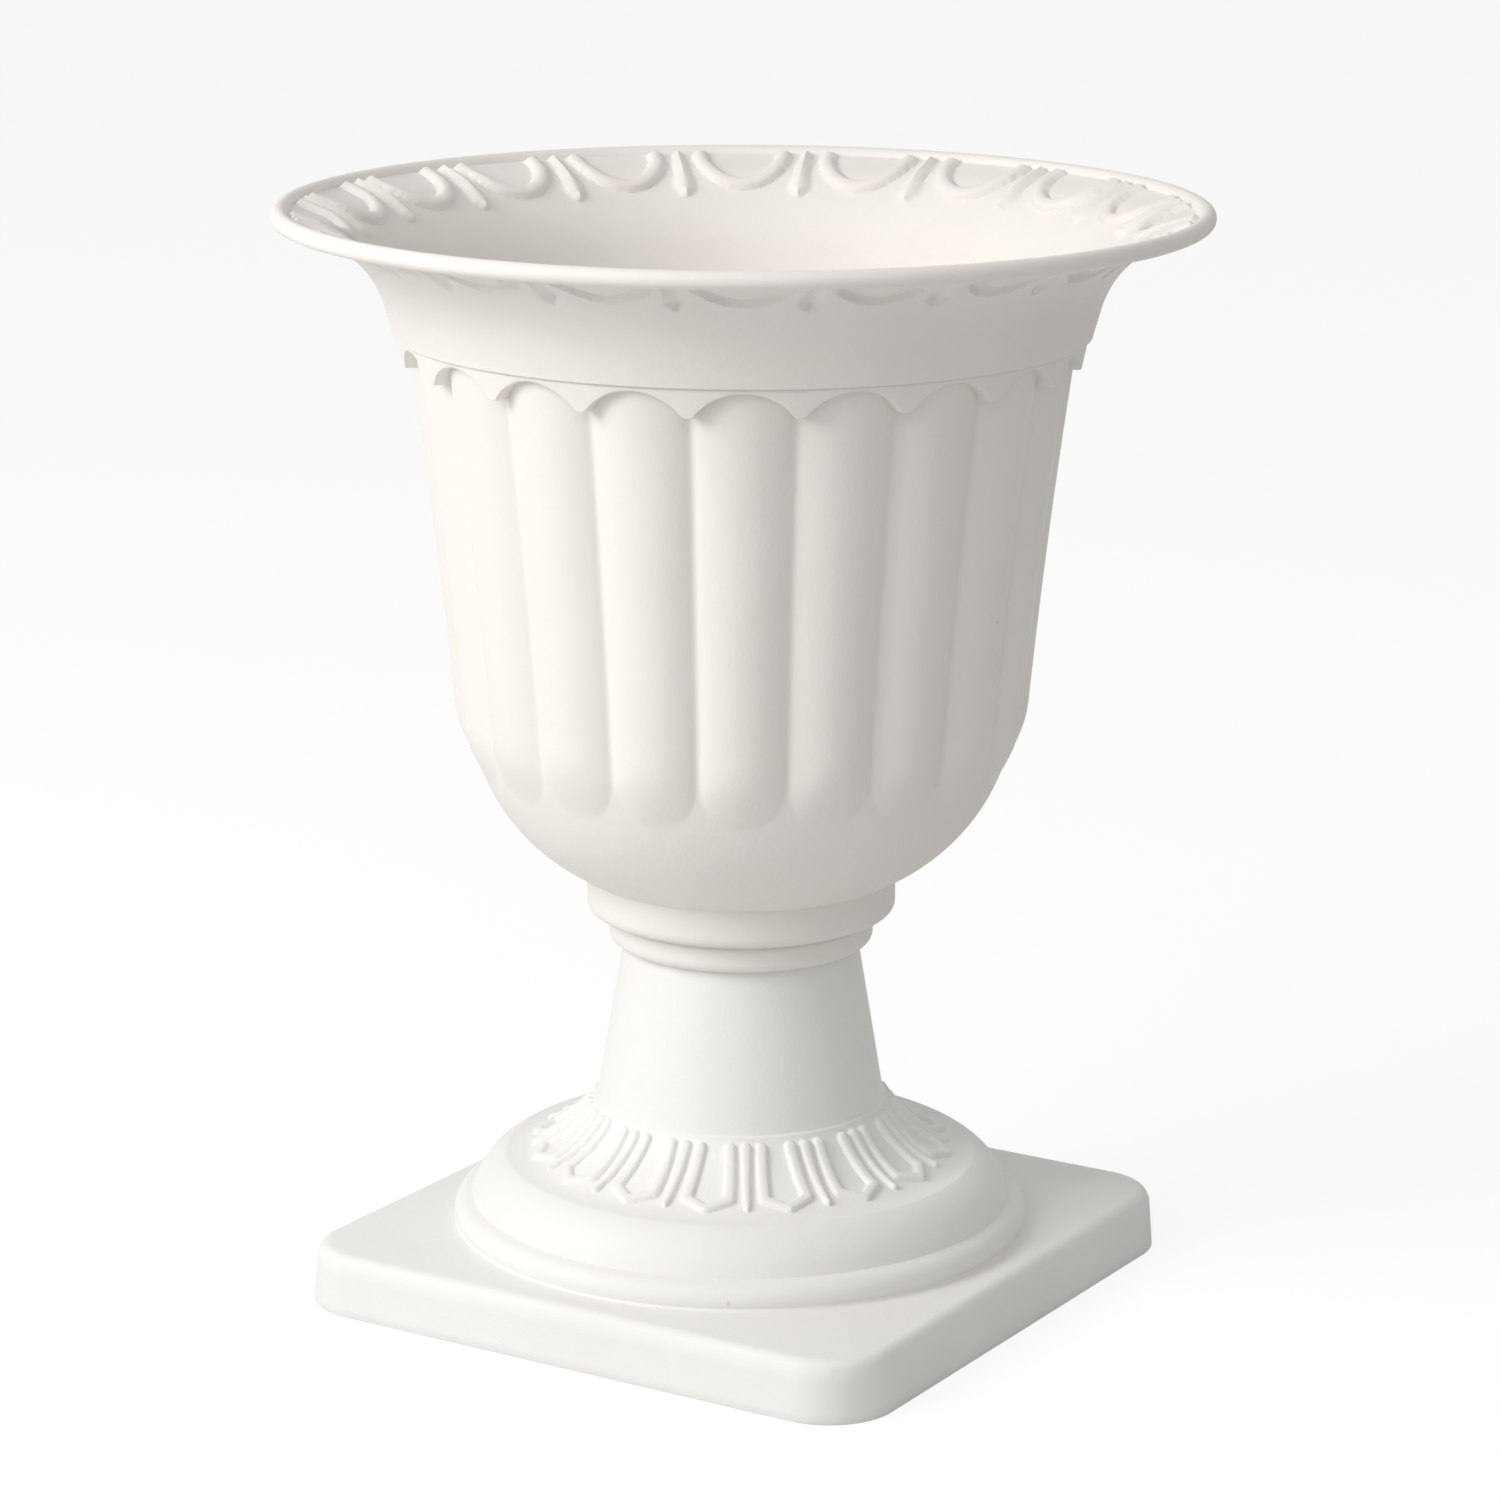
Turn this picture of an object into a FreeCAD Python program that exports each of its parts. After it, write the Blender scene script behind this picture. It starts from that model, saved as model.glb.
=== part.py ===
import FreeCAD, Part
import os
from math import cos, pi, radians, sin, sqrt, tan

os.makedirs("parts", exist_ok=True)

# Urn planter on a square plinth: a thin moulded bowl bolted to a hollow moulded pedestal.
# Millimetres, +Z up, origin on the floor under the bowl's axis, plinth square to X and Y.

# ---- driving sizes: plinth and foot -------------------------------------------------------
PLINTH_WIDTH = 276.0          # across the plinth's lower edge
PLINTH_HEIGHT = 25.5          # floor to the plinth's top
PLINTH_DRAFT = 2.0            # how much each side leans in over that height
PLINTH_CORNER = 30.0          # radius of the upright corners
PLINTH_EDGE = 5.0             # rounding of the top edge
PEDESTAL_WALL = 3.5
FOOT_RING_RADIUS = 121.0      # lower moulding, the widest round of the foot
FOOT_RING_HEIGHT = 12.0       # lower moulding, top to bottom
FOOT_GROOVE_DEPTH = 7.5       # groove between the two mouldings
BELL_RING_HEIGHT = 17.0       # upper moulding, groove to the foot of the bell
BELL_RING_INSET = 22.0        # lower moulding's radius less the bell's foot radius
BELL_SAG = 0.13               # how hollow the bell is, as a share of its span
RING_SHOULDER = 0.12          # how full the upper moulding is, as a share of its span
STEM_FOOT_RADIUS = 60.2
STEM_FOOT_HEIGHT = 80.0       # floor to the ledge where the stem ends
STEM_LEDGE = 1.8              # step out at that ledge
STEM_LEAN = 9.3               # degrees that the stem's side leans in
GUSSET_THICKNESS = 3.0
GUSSET_SETBACK = 2.0          # gusset's lower edge above the floor

# ---- driving sizes: bowl ------------------------------------------------------------------
TOTAL_HEIGHT = 457.0
RIM_RADIUS = 191.0            # outside of the rolled lip
LIP_RADIUS = 3.6              # section of the rolled lip
BOWL_WALL = 3.0
FLOOR_RISE = 31.3             # collar's lower edge to the inner floor
BAND_INSET = 48.2             # rim's radius less the radius of the smooth band's lower edge
BAND_DEPTH = 50.5             # top of the lip to the smooth band's lower edge
BAND_LENGTH = 10.4
BAND_TUCK = 0.7               # how far the band's lower edge tucks in at the seam
BAND_LEAN = 15.6              # degrees that the band leans out
FLARE_RADIUS = 45.0           # sweep of the flare from band to flange
FLANGE_SLOPE = 18.0           # degrees that the flange rises outward
BAND_STEP = 2.2               # step in from the band to the scalloped skirt
SEAM_DROP = 2.2               # band's lower edge to the seam over the skirt
SKIRT_DROP = 11.8             # seam to the tips between the scallops
SKIRT_LEAN = 11.0             # degrees that the skirt leans out
SCALLOP_RISE = 10.2           # tips to the crown of each scallop
SCALLOP_TIP = 3.4             # blunt width of each tip
LOBE_COUNT = 20
LOBE_HEIGHT = 5.5             # crest of a lobe over the channel beside it
LOBE_SHARE = 0.94             # share of the pitch that a lobe fills at its foot
LOBE_LEAN = 6.5               # degrees that the lobed wall leans out
LOBE_DOME_DROP = 9.8          # belly's centre to the centre of the dome that ends a lobe
WALL_INSET = 11.3             # band's radius less the channels' radius at the seam
BELLY_RADIUS = 83.0           # sweep of the round belly in section
BELLY_RISE = 74.3             # inner floor to the centre of the belly's sweep
BOWL_REST_TURN = -4.0         # how far the bowl is turned on its foot, degrees

# ---- driving sizes: collar under the bowl --------------------------------------------------
COLLAR_RADIUS = 64.5
COLLAR_EDGE_RISE = 13.4       # collar's lower edge to the upper disc's lower edge
COLLAR_ROUND = 4.6            # rounding under each disc
COLLAR_GROOVE_RADIUS = 56.4
COLLAR_GROOVE_WIDTH = 2.6     # groove between the two discs
SECOND_DISC_RADIUS = 55.3
COLLAR_FOOT_HEIGHT = 147.2    # lower edge of the collar
SOCKET_CLEARANCE = 0.3        # between the stem and the collar's mouth

# ---- driving sizes: fasteners and plugs ----------------------------------------------------
BOLT_DIAMETER = 8.0
BOLT_LENGTH = 40.0
BOLT_HEAD_WIDTH = 13.0        # across flats
BOLT_HEAD_HEIGHT = 5.3
BOLT_HOLE_CLEARANCE = 0.3
THREAD_CLEARANCE = 0.05
SEAL_RADIUS = 11.0
SEAL_THICKNESS = 2.0
WASHER_RADIUS = 12.0
WASHER_THICKNESS = 1.6
WASHER_CLEARANCE = 0.2
NUT_SEAT_GAP = 0.3
NUT_HUB_RADIUS = 7.5
NUT_HUB_HEIGHT = 9.0
NUT_WING_SPAN = 38.0
NUT_WING_THICKNESS = 3.0
NUT_WING_DROP = 9.0           # how far the wings reach below the hub
DRAIN_COUNT = 3
DRAIN_CIRCLE = 28.0
DRAIN_RADIUS = 6.3
STEM_DRAIN_COUNT = 6
STEM_DRAIN_RADIUS = 6.0
PLUG_CLEARANCE = 0.3
PLUG_FLANGE_MARGIN = 3.2
PLUG_FLANGE_THICKNESS = 2.4
PLUG_GRIP_HEIGHT = 9.0
PLUG_GRIP_THICKNESS = 3.0

# ---- sizes that follow ----------------------------------------------------------------------
BOLT_RADIUS = BOLT_DIAMETER / 2
COLLAR_EDGE_HEIGHT = COLLAR_FOOT_HEIGHT + COLLAR_EDGE_RISE
BOWL_FLOOR = COLLAR_FOOT_HEIGHT + FLOOR_RISE
BOWL_UNDERSIDE = BOWL_FLOOR - BOWL_WALL
BAND_RADIUS = RIM_RADIUS - BAND_INSET
BAND_HEIGHT = TOTAL_HEIGHT - BAND_DEPTH
SKIRT_TOP = BAND_HEIGHT - SEAM_DROP
BELLY_CENTRE_HEIGHT = BOWL_FLOOR + BELLY_RISE
LOBE_DOME_HEIGHT = BELLY_CENTRE_HEIGHT - LOBE_DOME_DROP
WALL_TANGENT = tan(radians(LOBE_LEAN))
WALL_START = BELLY_CENTRE_HEIGHT - BELLY_RADIUS * sin(radians(LOBE_LEAN))
WALL_REACH = BELLY_RADIUS * cos(radians(LOBE_LEAN)) + (SKIRT_TOP - WALL_START) * WALL_TANGENT
BELLY_CENTRE_RADIUS = BAND_RADIUS - WALL_INSET - WALL_REACH
OVERLAP = 1.0                 # how far a cutter or a joined part runs past the face it meets


def point(radius, height):
    return FreeCAD.Vector(radius, 0, height)


def line(start, end):
    return Part.LineSegment(point(*start), point(*end)).toShape()


def arc(start, middle, end):
    return Part.Arc(point(*start), point(*middle), point(*end)).toShape()


def arc_about(centre, radius, start_angle, end_angle):
    """Arc in the section plane; angles in degrees from the outward direction."""
    ends = []
    for angle in (start_angle, (start_angle + end_angle) / 2, end_angle):
        ends.append((centre[0] + radius * cos(radians(angle)), centre[1] + radius * sin(radians(angle))))
    return arc(*ends), ends[0], ends[2]


def outline(*steps):
    """Closed section: each step is a point to reach by a line, or an arc's (middle, end)."""
    edges = []
    here = steps[0]
    for step in steps[1:] + (steps[0],):
        if isinstance(step[0], tuple):
            edges.append(arc(here, *step))
            here = step[1]
        else:
            edges.append(line(here, step))
            here = step
    return edges


def turned(edges):
    """Solid of revolution about the upright axis from a closed section."""
    face = Part.Face(Part.Wire(edges))
    return face.revolve(FreeCAD.Vector(0, 0, 0), FreeCAD.Vector(0, 0, 1), 360)


def cylinder(radius, bottom, top, x=0.0, y=0.0):
    return Part.makeCylinder(radius, top - bottom, FreeCAD.Vector(x, y, bottom))


def ring(outer, inner, bottom, top):
    return cylinder(outer, bottom, top).cut(cylinder(inner, bottom, top))


def spin(shape, angle):
    turned_copy = shape.copy()
    turned_copy.rotate(FreeCAD.Vector(0, 0, 0), FreeCAD.Vector(0, 0, 1), angle)
    return turned_copy


def on_circle(radius, count, start=0.0):
    for index in range(count):
        angle = radians(start + 360.0 * index / count)
        yield radius * cos(angle), radius * sin(angle)


def rounded_square(width, corner, height):
    """Upright rounded square as a wire at one height."""
    half = width / 2
    flat = half - corner
    bulge = corner * (1 - sqrt(0.5))
    corners = [(1, 1), (-1, 1), (-1, -1), (1, -1)]
    edges = []
    ends = []
    for sx, sy in corners:
        first = FreeCAD.Vector(sx * half, sy * flat, height)
        second = FreeCAD.Vector(sx * flat, sy * half, height)
        middle = FreeCAD.Vector(sx * (half - bulge), sy * (half - bulge), height)
        if sx * sy < 0:
            first, second = second, first
        ends.append((first, second))
        edges.append(Part.Arc(first, middle, second).toShape())
    joined = []
    for index, edge in enumerate(edges):
        joined.append(edge)
        following = ends[(index + 1) % 4][0]
        joined.append(Part.LineSegment(ends[index][1], following).toShape())
    return Part.Wire(joined)


def stem_radius(height):
    """Outer radius of the stem's straight taper at a height."""
    return STEM_FOOT_RADIUS - (height - STEM_FOOT_HEIGHT) * tan(radians(STEM_LEAN))


# ---- pedestal -------------------------------------------------------------------------------
RING_TOP = PLINTH_HEIGHT + FOOT_RING_HEIGHT
RING_MIDDLE = PLINTH_HEIGHT + FOOT_RING_HEIGHT / 2
GROOVE_RADIUS = FOOT_RING_RADIUS - FOOT_GROOVE_DEPTH
BELL_FOOT_HEIGHT = RING_TOP + BELL_RING_HEIGHT
BELL_FOOT_RADIUS = FOOT_RING_RADIUS - BELL_RING_INSET
BELL_TOP_RADIUS = STEM_FOOT_RADIUS + STEM_LEDGE
BELL_TOP_HEIGHT = STEM_FOOT_HEIGHT - STEM_LEDGE


def bell_middle(top, foot):
    """Middle of the bell's hollow sweep between two section points."""
    run = foot[0] - top[0]
    fall = top[1] - foot[1]
    return ((top[0] + foot[0]) / 2 - BELL_SAG * fall, (top[1] + foot[1]) / 2 - BELL_SAG * run)


def shoulder_middle(inner, outer):
    """Middle of the upper moulding's round between two section points."""
    run = outer[0] - inner[0]
    fall = inner[1] - outer[1]
    return ((inner[0] + outer[0]) / 2 + RING_SHOULDER * fall, (inner[1] + outer[1]) / 2 + RING_SHOULDER * run)


def pedestal():
    top = BOWL_UNDERSIDE
    bell_top = (BELL_TOP_RADIUS, BELL_TOP_HEIGHT)
    bell_foot = (BELL_FOOT_RADIUS, BELL_FOOT_HEIGHT)
    groove = (GROOVE_RADIUS, RING_TOP)
    ring_foot = (FOOT_RING_RADIUS - OVERLAP, PLINTH_HEIGHT - OVERLAP)
    body = turned(outline(
        (0, top),
        (stem_radius(top), top),
        (STEM_FOOT_RADIUS, STEM_FOOT_HEIGHT),
        (BELL_TOP_RADIUS, STEM_FOOT_HEIGHT),
        bell_top,
        (bell_middle(bell_top, bell_foot), bell_foot),
        (shoulder_middle(bell_foot, groove), groove),
        ((FOOT_RING_RADIUS, RING_MIDDLE), ring_foot),
        (0, PLINTH_HEIGHT - OVERLAP),
    ))
    top_width = PLINTH_WIDTH - 2 * PLINTH_DRAFT
    plinth = Part.makeLoft([
        rounded_square(PLINTH_WIDTH, PLINTH_CORNER, 0),
        rounded_square(top_width, PLINTH_CORNER - PLINTH_DRAFT, PLINTH_HEIGHT),
    ], True, True)
    crown = [edge for edge in plinth.Edges if edge.BoundBox.ZMin > PLINTH_HEIGHT - 0.01]
    plinth = plinth.makeFillet(PLINTH_EDGE, crown)
    body = body.fuse(plinth)

    wall = PEDESTAL_WALL
    deck = PLINTH_HEIGHT - wall
    inner_top = (STEM_FOOT_RADIUS - wall, STEM_FOOT_HEIGHT)
    inner_bell_top = (BELL_TOP_RADIUS - wall, BELL_TOP_HEIGHT - wall)
    inner_bell_foot = (BELL_FOOT_RADIUS - OVERLAP, BELL_FOOT_HEIGHT - wall)
    inner_groove = (GROOVE_RADIUS - wall, RING_TOP)
    under = -OVERLAP
    hollow = turned(outline(
        (0, top - wall),
        (stem_radius(top - wall) - wall, top - wall),
        inner_top,
        inner_bell_top,
        (bell_middle(inner_bell_top, inner_bell_foot), inner_bell_foot),
        (shoulder_middle(inner_bell_foot, inner_groove), inner_groove),
        (FOOT_RING_RADIUS - wall, RING_TOP - wall),
        (FOOT_RING_RADIUS - wall, under),
        (0, under),
    ))
    tray = Part.makeLoft([
        rounded_square(PLINTH_WIDTH - 2 * wall, PLINTH_CORNER - wall, under),
        rounded_square(top_width - 2 * wall, PLINTH_CORNER - PLINTH_DRAFT - wall, deck),
    ], True, True)
    body = body.cut(hollow.fuse(tray))

    # a web on each diagonal ties the foot's wall to the plinth's corner
    inner_reach = FOOT_RING_RADIUS - wall
    corner_reach = PLINTH_WIDTH / sqrt(2) - PLINTH_CORNER * (sqrt(2) - 1) - wall / 2 - PLINTH_DRAFT
    web = Part.makeBox(corner_reach - inner_reach, GUSSET_THICKNESS, deck + wall / 2 - GUSSET_SETBACK,
                       FreeCAD.Vector(inner_reach, -GUSSET_THICKNESS / 2, GUSSET_SETBACK))
    webs = [spin(web, 45 + 90 * index) for index in range(4)]
    body = body.fuse(webs)

    holes = [cylinder(BOLT_RADIUS + BOLT_HOLE_CLEARANCE, top - 2 * wall, top + OVERLAP)]
    for x, y in on_circle(DRAIN_CIRCLE, STEM_DRAIN_COUNT, BOWL_REST_TURN):
        holes.append(cylinder(STEM_DRAIN_RADIUS, top - 2 * wall, top + OVERLAP, x, y))
    return body.cut(holes).removeSplitter()


# ---- bowl -------------------------------------------------------------------------------------
CROWN_HEIGHT = SKIRT_TOP - SKIRT_DROP + SCALLOP_RISE


def channel_radius(height, inset=0.0):
    """Radius of the wall between the lobes, on the surface inset from the outside."""
    sweep = BELLY_RADIUS - inset
    start = BELLY_CENTRE_HEIGHT - sweep * sin(radians(LOBE_LEAN))
    if height < start:
        return BELLY_CENTRE_RADIUS + sqrt(sweep ** 2 - (BELLY_CENTRE_HEIGHT - height) ** 2)
    return BELLY_CENTRE_RADIUS + sweep * cos(radians(LOBE_LEAN)) + (height - start) * WALL_TANGENT


def belly_joint(inset):
    """Point where the belly's sweep runs into the leaning wall."""
    height = BELLY_CENTRE_HEIGHT - (BELLY_RADIUS - inset) * sin(radians(LOBE_LEAN))
    return (channel_radius(height, inset), height)


def lobe_section(height):
    """Radius of the round that stands proud by the lobe's height and fills its share of the pitch."""
    base = channel_radius(height)
    half_angle = LOBE_SHARE * pi / LOBE_COUNT
    half_chord = base * sin(half_angle)
    rise = LOBE_HEIGHT + base * (1 - cos(half_angle))
    return (half_chord ** 2 + rise ** 2) / (2 * rise)


def lobe():
    """One lobe: a leaning tapered round with a domed lower end, along +X."""
    top = CROWN_HEIGHT + OVERLAP / 2
    foot_round = lobe_section(LOBE_DOME_HEIGHT)
    top_round = lobe_section(top)
    foot = FreeCAD.Vector(channel_radius(LOBE_DOME_HEIGHT) + LOBE_HEIGHT - foot_round, 0, LOBE_DOME_HEIGHT)
    head = FreeCAD.Vector(channel_radius(top) + LOBE_HEIGHT - top_round, 0, top)
    axis = head - foot
    shaft = Part.makeCone(foot_round, top_round, axis.Length, foot, axis)
    return shaft.fuse(Part.makeSphere(foot_round, foot))


def skirt():
    """Scalloped skirt: a leaning ring cut away by one arch over each lobe."""
    foot = SKIRT_TOP - SKIRT_DROP
    top = SKIRT_TOP + BAND_TUCK / 2
    lean = tan(radians(SKIRT_LEAN))
    outer = BAND_RADIUS - BAND_STEP
    inner = channel_radius(foot) - BOWL_WALL / 2
    band = turned(outline((inner, foot), (outer - SKIRT_DROP * lean, foot), (outer, top), (inner, top)))
    half_span = outer * sin(pi / LOBE_COUNT) - SCALLOP_TIP / 2
    arch = (half_span ** 2 + SCALLOP_RISE ** 2) / (2 * SCALLOP_RISE)
    start = FreeCAD.Vector(inner - OVERLAP, 0, foot + SCALLOP_RISE - arch)
    cutter = Part.makeCylinder(arch, outer, start, FreeCAD.Vector(1, 0, 0))
    cutters = [spin(cutter, 360.0 * index / LOBE_COUNT) for index in range(LOBE_COUNT)]
    return band.cut(Part.makeCompound(cutters))


BAND_SLOPE = radians(BAND_LEAN)
BAND_TOP = (BAND_RADIUS + BAND_LENGTH * sin(BAND_SLOPE), BAND_HEIGHT + BAND_LENGTH * cos(BAND_SLOPE))
FLARE_CENTRE = (BAND_TOP[0] + FLARE_RADIUS * cos(BAND_SLOPE), BAND_TOP[1] - FLARE_RADIUS * sin(BAND_SLOPE))
LIP_CENTRE = (RIM_RADIUS - LIP_RADIUS, TOTAL_HEIGHT - LIP_RADIUS)


def flare_arc(inset):
    return arc_about(FLARE_CENTRE, FLARE_RADIUS + inset, 180 - BAND_LEAN, 90 + FLANGE_SLOPE)


def outer_form():
    """Everything inside the bowl's outer surface, without lobes and skirt."""
    collar_top = BELLY_CENTRE_HEIGHT - sqrt(BELLY_RADIUS ** 2 - (COLLAR_RADIUS - BELLY_CENTRE_RADIUS) ** 2)
    joint = belly_joint(0)
    middle_height = (collar_top + joint[1]) / 2
    disc_foot = COLLAR_FOOT_HEIGHT + COLLAR_ROUND
    groove_foot = COLLAR_EDGE_HEIGHT - COLLAR_GROOVE_WIDTH
    upper_disc, upper_start, upper_end = arc_about(
        (COLLAR_RADIUS - COLLAR_ROUND, COLLAR_EDGE_HEIGHT + COLLAR_ROUND), COLLAR_ROUND, 0, -90)
    lower_disc, lower_start, lower_end = arc_about(
        (SECOND_DISC_RADIUS - COLLAR_ROUND, disc_foot), COLLAR_ROUND, 0, -90)
    flare, flare_start, flare_end = flare_arc(0)
    lip, lip_start, lip_end = arc_about(LIP_CENTRE, LIP_RADIUS, -120, 90)
    edges = [
        line((0, COLLAR_FOOT_HEIGHT), lower_end),
        lower_disc,
        line(lower_start, (SECOND_DISC_RADIUS, groove_foot)),
        line((SECOND_DISC_RADIUS, groove_foot), (COLLAR_GROOVE_RADIUS, COLLAR_EDGE_HEIGHT)),
        line((COLLAR_GROOVE_RADIUS, COLLAR_EDGE_HEIGHT), upper_end),
        upper_disc,
        line(upper_start, (COLLAR_RADIUS, collar_top)),
        arc((COLLAR_RADIUS, collar_top), (channel_radius(middle_height), middle_height), joint),
        line(joint, (channel_radius(SKIRT_TOP), SKIRT_TOP)),
        line((channel_radius(SKIRT_TOP), SKIRT_TOP), (BAND_RADIUS - BAND_TUCK, SKIRT_TOP)),
        line((BAND_RADIUS - BAND_TUCK, SKIRT_TOP), (BAND_RADIUS, BAND_HEIGHT)),
        line((BAND_RADIUS, BAND_HEIGHT), flare_start),
        flare,
        line(flare_end, lip_start),
        lip,
        line(lip_end, (0, TOTAL_HEIGHT)),
        line((0, TOTAL_HEIGHT), (0, COLLAR_FOOT_HEIGHT)),
    ]
    return turned(edges)


def cavity():
    """The planting space, from the floor to above the lip."""
    wall = BOWL_WALL
    joint = belly_joint(wall)
    middle_height = (BOWL_FLOOR + joint[1]) / 2
    over = TOTAL_HEIGHT + OVERLAP
    shoulder_height = CROWN_HEIGHT - wall
    flare, flare_start, flare_end = flare_arc(wall)
    lip, lip_start, lip_end = arc_about(LIP_CENTRE, LIP_RADIUS, 180, 90)
    edges = [
        line((0, BOWL_FLOOR), (channel_radius(BOWL_FLOOR, wall), BOWL_FLOOR)),
        arc((channel_radius(BOWL_FLOOR, wall), BOWL_FLOOR), (channel_radius(middle_height, wall), middle_height), joint),
        line(joint, (channel_radius(shoulder_height, wall), shoulder_height)),
        line((channel_radius(shoulder_height, wall), shoulder_height), (BAND_RADIUS - wall, BAND_HEIGHT)),
        line((BAND_RADIUS - wall, BAND_HEIGHT), flare_start),
        flare,
        line(flare_end, lip_start),
        lip,
        line(lip_end, (lip_end[0], over)),
        line((lip_end[0], over), (0, over)),
        line((0, over), (0, BOWL_FLOOR)),
    ]
    return turned(edges)


def collar_socket():
    """Hollow inside the collar, open below, where the stem's top enters."""
    wall = BOWL_WALL
    mouth = stem_radius(COLLAR_FOOT_HEIGHT) + SOCKET_CLEARANCE
    skin = SECOND_DISC_RADIUS - wall
    return turned(outline(
        (0, COLLAR_FOOT_HEIGHT - OVERLAP),
        (mouth, COLLAR_FOOT_HEIGHT - OVERLAP),
        (mouth, COLLAR_FOOT_HEIGHT + wall),
        (skin, COLLAR_FOOT_HEIGHT + COLLAR_ROUND),
        (skin, COLLAR_EDGE_HEIGHT),
        (COLLAR_RADIUS - wall, COLLAR_EDGE_HEIGHT + COLLAR_ROUND),
        (COLLAR_RADIUS - wall, BOWL_UNDERSIDE),
        (0, BOWL_UNDERSIDE),
    ))


def bowl():
    lobes = [spin(lobe(), 360.0 * index / LOBE_COUNT) for index in range(LOBE_COUNT)]
    body = outer_form().fuse(lobes + [skirt()])
    body = body.cut(cavity()).cut(collar_socket())
    holes = [cylinder(BOLT_RADIUS + BOLT_HOLE_CLEARANCE, BOWL_UNDERSIDE - OVERLAP, BOWL_FLOOR + OVERLAP)]
    for x, y in on_circle(DRAIN_CIRCLE, DRAIN_COUNT):
        holes.append(cylinder(DRAIN_RADIUS, BOWL_UNDERSIDE - OVERLAP, BOWL_FLOOR + OVERLAP, x, y))
    return spin(body.cut(holes), BOWL_REST_TURN)


# ---- fasteners and plugs ------------------------------------------------------------------------
SEAL_TOP = BOWL_FLOOR + SEAL_THICKNESS
HEAD_SEAT = SEAL_TOP + WASHER_THICKNESS
NUT_WASHER_TOP = BOWL_UNDERSIDE - PEDESTAL_WALL - NUT_SEAT_GAP
NUT_TOP = NUT_WASHER_TOP - WASHER_THICKNESS


def tie_bolt():
    half = BOLT_HEAD_WIDTH / sqrt(3)
    corners = [FreeCAD.Vector(x, y, HEAD_SEAT) for x, y in on_circle(half, 6)]
    head = Part.Face(Part.makePolygon(corners + corners[:1])).extrude(FreeCAD.Vector(0, 0, BOLT_HEAD_HEIGHT))
    crown = Part.makeCone(BOLT_HEAD_WIDTH / 2 + BOLT_HEAD_HEIGHT, BOLT_HEAD_WIDTH / 2, BOLT_HEAD_HEIGHT,
                          FreeCAD.Vector(0, 0, HEAD_SEAT))
    foot = HEAD_SEAT - BOLT_LENGTH
    shank = cylinder(BOLT_RADIUS, foot, HEAD_SEAT)
    tip = [edge for edge in shank.Edges if edge.BoundBox.ZMax < foot + 0.01]
    shank = shank.makeChamfer(BOLT_RADIUS / 5, tip)
    return head.common(crown).fuse(shank)


def wing_nut():
    hub_foot = NUT_TOP - NUT_HUB_HEIGHT
    hub = Part.makeCone(NUT_HUB_RADIUS * 0.8, NUT_HUB_RADIUS, NUT_HUB_HEIGHT, FreeCAD.Vector(0, 0, hub_foot))
    reach = NUT_WING_SPAN / 2
    ear = NUT_WING_DROP / 2
    low = hub_foot - NUT_WING_DROP
    root = NUT_HUB_RADIUS * 0.7
    side = -NUT_WING_THICKNESS / 2

    def at(x, z):
        return FreeCAD.Vector(x, side, z)

    edges = [
        Part.LineSegment(at(root, NUT_TOP - 2), at(reach, hub_foot)).toShape(),
        Part.Arc(at(reach, hub_foot), at(reach - ear * 0.4, low), at(reach - 2 * ear, low + ear)).toShape(),
        Part.LineSegment(at(reach - 2 * ear, low + ear), at(root, hub_foot + 1)).toShape(),
        Part.LineSegment(at(root, hub_foot + 1), at(root, NUT_TOP - 2)).toShape(),
    ]
    wing = Part.Face(Part.Wire(edges)).extrude(FreeCAD.Vector(0, NUT_WING_THICKNESS, 0))
    body = hub.fuse([wing, spin(wing, 180)])
    return body.cut(cylinder(BOLT_RADIUS + THREAD_CLEARANCE, low - 1, NUT_TOP + 1))


def drain_plug(x, y, turn):
    """Push-in plug: flange on the floor, short spigot in the hole, upright grip tab."""
    flange_top = BOWL_FLOOR + PLUG_FLANGE_THICKNESS
    spigot = cylinder(DRAIN_RADIUS - PLUG_CLEARANCE, BOWL_UNDERSIDE + PLUG_CLEARANCE, BOWL_FLOOR)
    flange = cylinder(DRAIN_RADIUS + PLUG_FLANGE_MARGIN, BOWL_FLOOR, flange_top)
    rim = [edge for edge in flange.Edges if edge.BoundBox.ZMin > flange_top - 0.01]
    flange = flange.makeFillet(PLUG_FLANGE_THICKNESS / 3, rim)
    disc = Part.makeCylinder(DRAIN_RADIUS, PLUG_GRIP_THICKNESS,
                             FreeCAD.Vector(0, -PLUG_GRIP_THICKNESS / 2, flange_top + PLUG_GRIP_HEIGHT - DRAIN_RADIUS),
                             FreeCAD.Vector(0, 1, 0))
    post = Part.makeBox(2 * DRAIN_RADIUS, PLUG_GRIP_THICKNESS, PLUG_GRIP_HEIGHT,
                        FreeCAD.Vector(-DRAIN_RADIUS, -PLUG_GRIP_THICKNESS / 2, flange_top))
    grip = disc.common(post)
    grip = spin(grip, turn)
    grip.translate(FreeCAD.Vector(x, y, 0))
    lower = spigot.fuse(flange)
    lower.translate(FreeCAD.Vector(x, y, 0))
    return lower.fuse(grip)


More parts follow.
